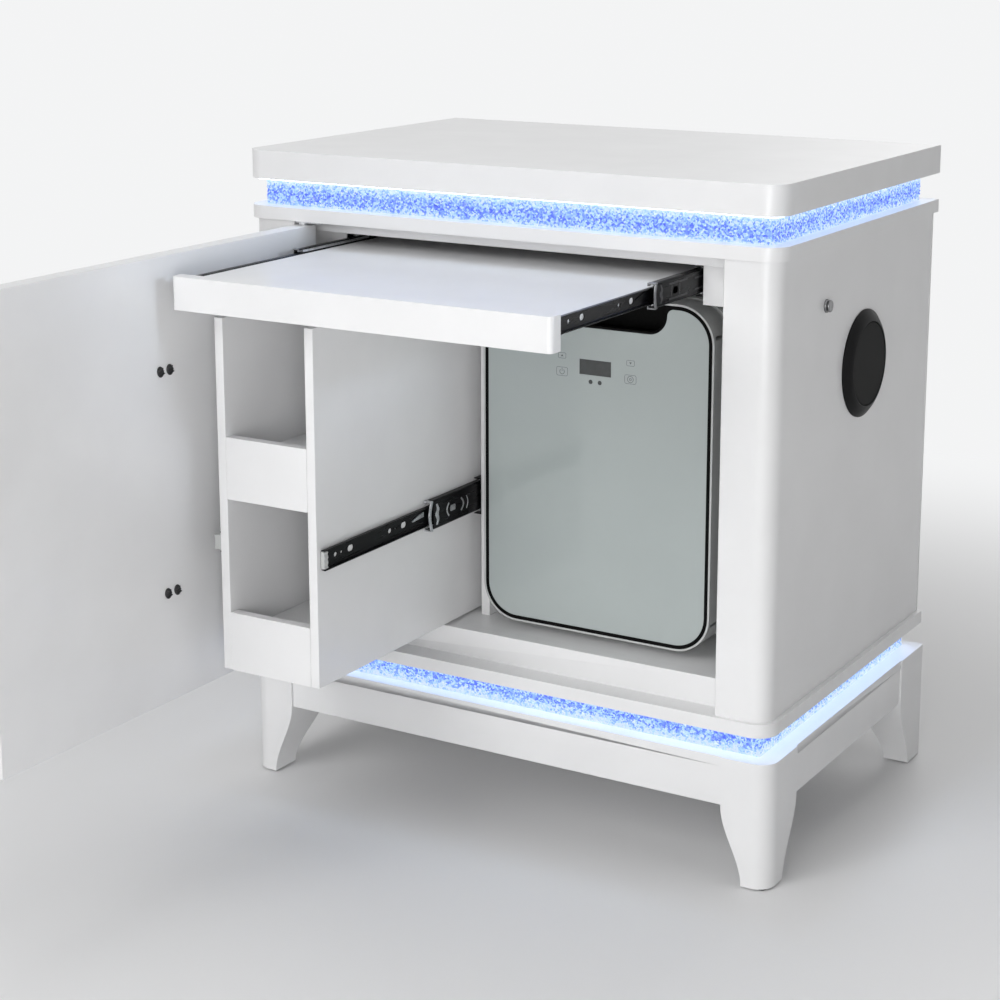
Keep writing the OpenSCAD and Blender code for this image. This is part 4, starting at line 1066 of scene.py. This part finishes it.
# ---- caps of the pulls' bolts ----
def bolt_caps():
    """Leaning dome caps with three ribs, on the door's inner face, and the pins behind them."""
    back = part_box("pull_bolts")[0].x
    face = -0.262  # the door's inner face
    pin, r, edge, crown, steps = 0.002, 0.0052, 0.0010, 0.0018, 6
    profile = [(0, back), (pin, back), (pin, face - 0.0005), (r * 0.9, face - 0.0001), (r, face + 0.0006)]
    for i in range(steps):
        turn = math.pi / 2 * i / steps
        profile.append((r * math.cos(turn), face + edge + crown * math.sin(turn)))
    profile.append((0, face + edge + crown))
    cap = Solid().lathe(profile, "x", (0, 0, 0), 32)
    for z in (-0.0026, 0, 0.0026):
        cap.box((face + 0.0006, -0.0036, z - 0.0004), (face + 0.0035, 0.0036, z + 0.0004))
    cap = cap.mesh("cap")
    lean = Matrix.Rotation(math.radians(20), 4, "X") @ Matrix.Scale(1.25, 4, (0, 0, 1))
    solid = Solid()
    for z in (0.32775, 0.58325):  # a lower and an upper pull, with two bolts each
        for y in (-0.5185, -0.5025):
            solid.add(cap, Matrix.Translation((0, y, z)) @ lean)
    piece("bolt_caps", solid.mesh("caps"), "door", PLASTIC, 0.0, ("pull_bolts",))


bolt_caps()


# ---- floor, light and sky ----
BACKDROP = (0.90, 0.905, 0.91, 1)
FLOOR_RADIUS = 60
FLOOR_Z = -0.0003  # just below the glides
FADE = (0.55, 1.8)  # metres from the centre, where the floor starts and ends to fade


def seen(tree):
    """1 for the rays that see a surface: from the camera, a reflection or through glass."""
    rays = tree.nodes.new("ShaderNodeLightPath")
    value = rays.outputs["Is Camera Ray"]
    for other in ("Is Glossy Ray", "Is Transmission Ray"):
        total = tree.nodes.new("ShaderNodeMath")
        total.operation = "MAXIMUM"
        tree.links.new(value, total.inputs[0])
        tree.links.new(rays.outputs[other], total.inputs[1])
        value = total.outputs[0]
    return value


def far_away(s):
    """Fades the floor into the backdrop, away from the object and its shadow."""
    length = s.node("VectorMath", operation="LENGTH")
    s.link(s.coord.outputs["Object"], length.inputs[0])
    share = s.node("MapRange", interpolation_type="SMOOTHSTEP")
    share.inputs["From Min"].default_value, share.inputs["From Max"].default_value = FADE
    s.link(length.outputs["Value"], share.inputs["Value"])
    both = s.combine("MULTIPLY", share.outputs["Result"], seen(s.tree))
    shown = s.node("Emission")
    shown.inputs["Color"].default_value = BACKDROP
    mix = s.node("MixShader")
    s.link(both, mix.inputs["Fac"])
    s.link(s.bsdf.outputs["BSDF"], mix.inputs[1])
    s.link(shown.outputs["Emission"], mix.inputs[2])
    s.link(mix.outputs["Shader"], s.tree.nodes["Material Output"].inputs["Surface"])


def stage():
    """The floor, a pale disc around the object."""
    bm = bmesh.new()
    bmesh.ops.create_circle(bm, cap_ends=True, segments=64, radius=FLOOR_RADIUS)
    data = bpy.data.meshes.new("floor")
    bm.to_mesh(data)
    bm.free()
    s = Shader("floor", Roughness=0.6)
    s.colour((0.79, 0.79, 0.795), (0.82, 0.82, 0.825), 1.5)
    far_away(s)
    data.materials.append(s.material)
    floor = bpy.data.objects.new("floor", data)
    floor.location.z = FLOOR_Z
    bpy.context.scene.collection.objects.link(floor)


def sky(light, shown):
    """An even studio light, with a pale backdrop for the camera and for reflections."""
    world = bpy.data.worlds.new("studio")
    world.use_nodes = True
    bpy.context.scene.world = world
    tree = world.node_tree
    tree.nodes.clear()
    out = tree.nodes.new("ShaderNodeOutputWorld")
    mix = tree.nodes.new("ShaderNodeMixShader")
    backs = []
    for colour, strength in (((1.0, 1.0, 1.0, 1), light), (BACKDROP, shown)):
        back = tree.nodes.new("ShaderNodeBackground")
        back.inputs["Color"].default_value = colour
        back.inputs["Strength"].default_value = strength
        backs.append(back)
    tree.links.new(seen(tree), mix.inputs["Fac"])
    for socket, back in zip((1, 2), backs):
        tree.links.new(back.outputs["Background"], mix.inputs[socket])
    tree.links.new(mix.outputs["Shader"], out.inputs["Surface"])


def aim(data, name, spot, target):
    """Places a lamp at spot and turns it to target."""
    obj = bpy.data.objects.new(name, data)
    obj.location = spot
    obj.rotation_euler = (Vector(target) - Vector(spot)).to_track_quat("-Z", "Y").to_euler()
    bpy.context.scene.collection.objects.link(obj)


def lamp(name, spot, target, size, watts):
    data = bpy.data.lights.new(name, "AREA")
    data.shape = "DISK"
    data.size = size
    data.energy = watts
    aim(data, name, spot, target)


def spot_lamp(name, spot, target, cone, watts, colour):
    """A narrow lamp with a soft border, for the bluish light on the door beside the tray."""
    data = bpy.data.lights.new(name, "SPOT")
    data.spot_size = math.radians(cone)
    data.spot_blend = 1.0
    data.shadow_soft_size = 0.15
    data.energy = watts
    data.color = colour
    aim(data, name, spot, target)


stage()
sky(0.175, 1.0)
CENTRE = (0, -0.1, 0.4)
lamp("key", (-0.9, -3.4, 2.4), CENTRE, 2.2, 48)
lamp("side", (3.2, -0.8, 1.2), CENTRE, 2.0, 1.5)
lamp("top", (0, -0.3, 3.2), CENTRE, 2.4, 23)
lamp("back", (-0.3, 3.6, 2.6), CENTRE, 2.2, 30)
lamp("door", (1.0, -2.2, 0.7), (-0.2, -0.4, 0.4), 1.0, 18)
spot_lamp("glow", (1.5, -0.55, 1.15), (-0.26, -0.42, 0.74), 20, 36, (0.76, 0.86, 1.0))
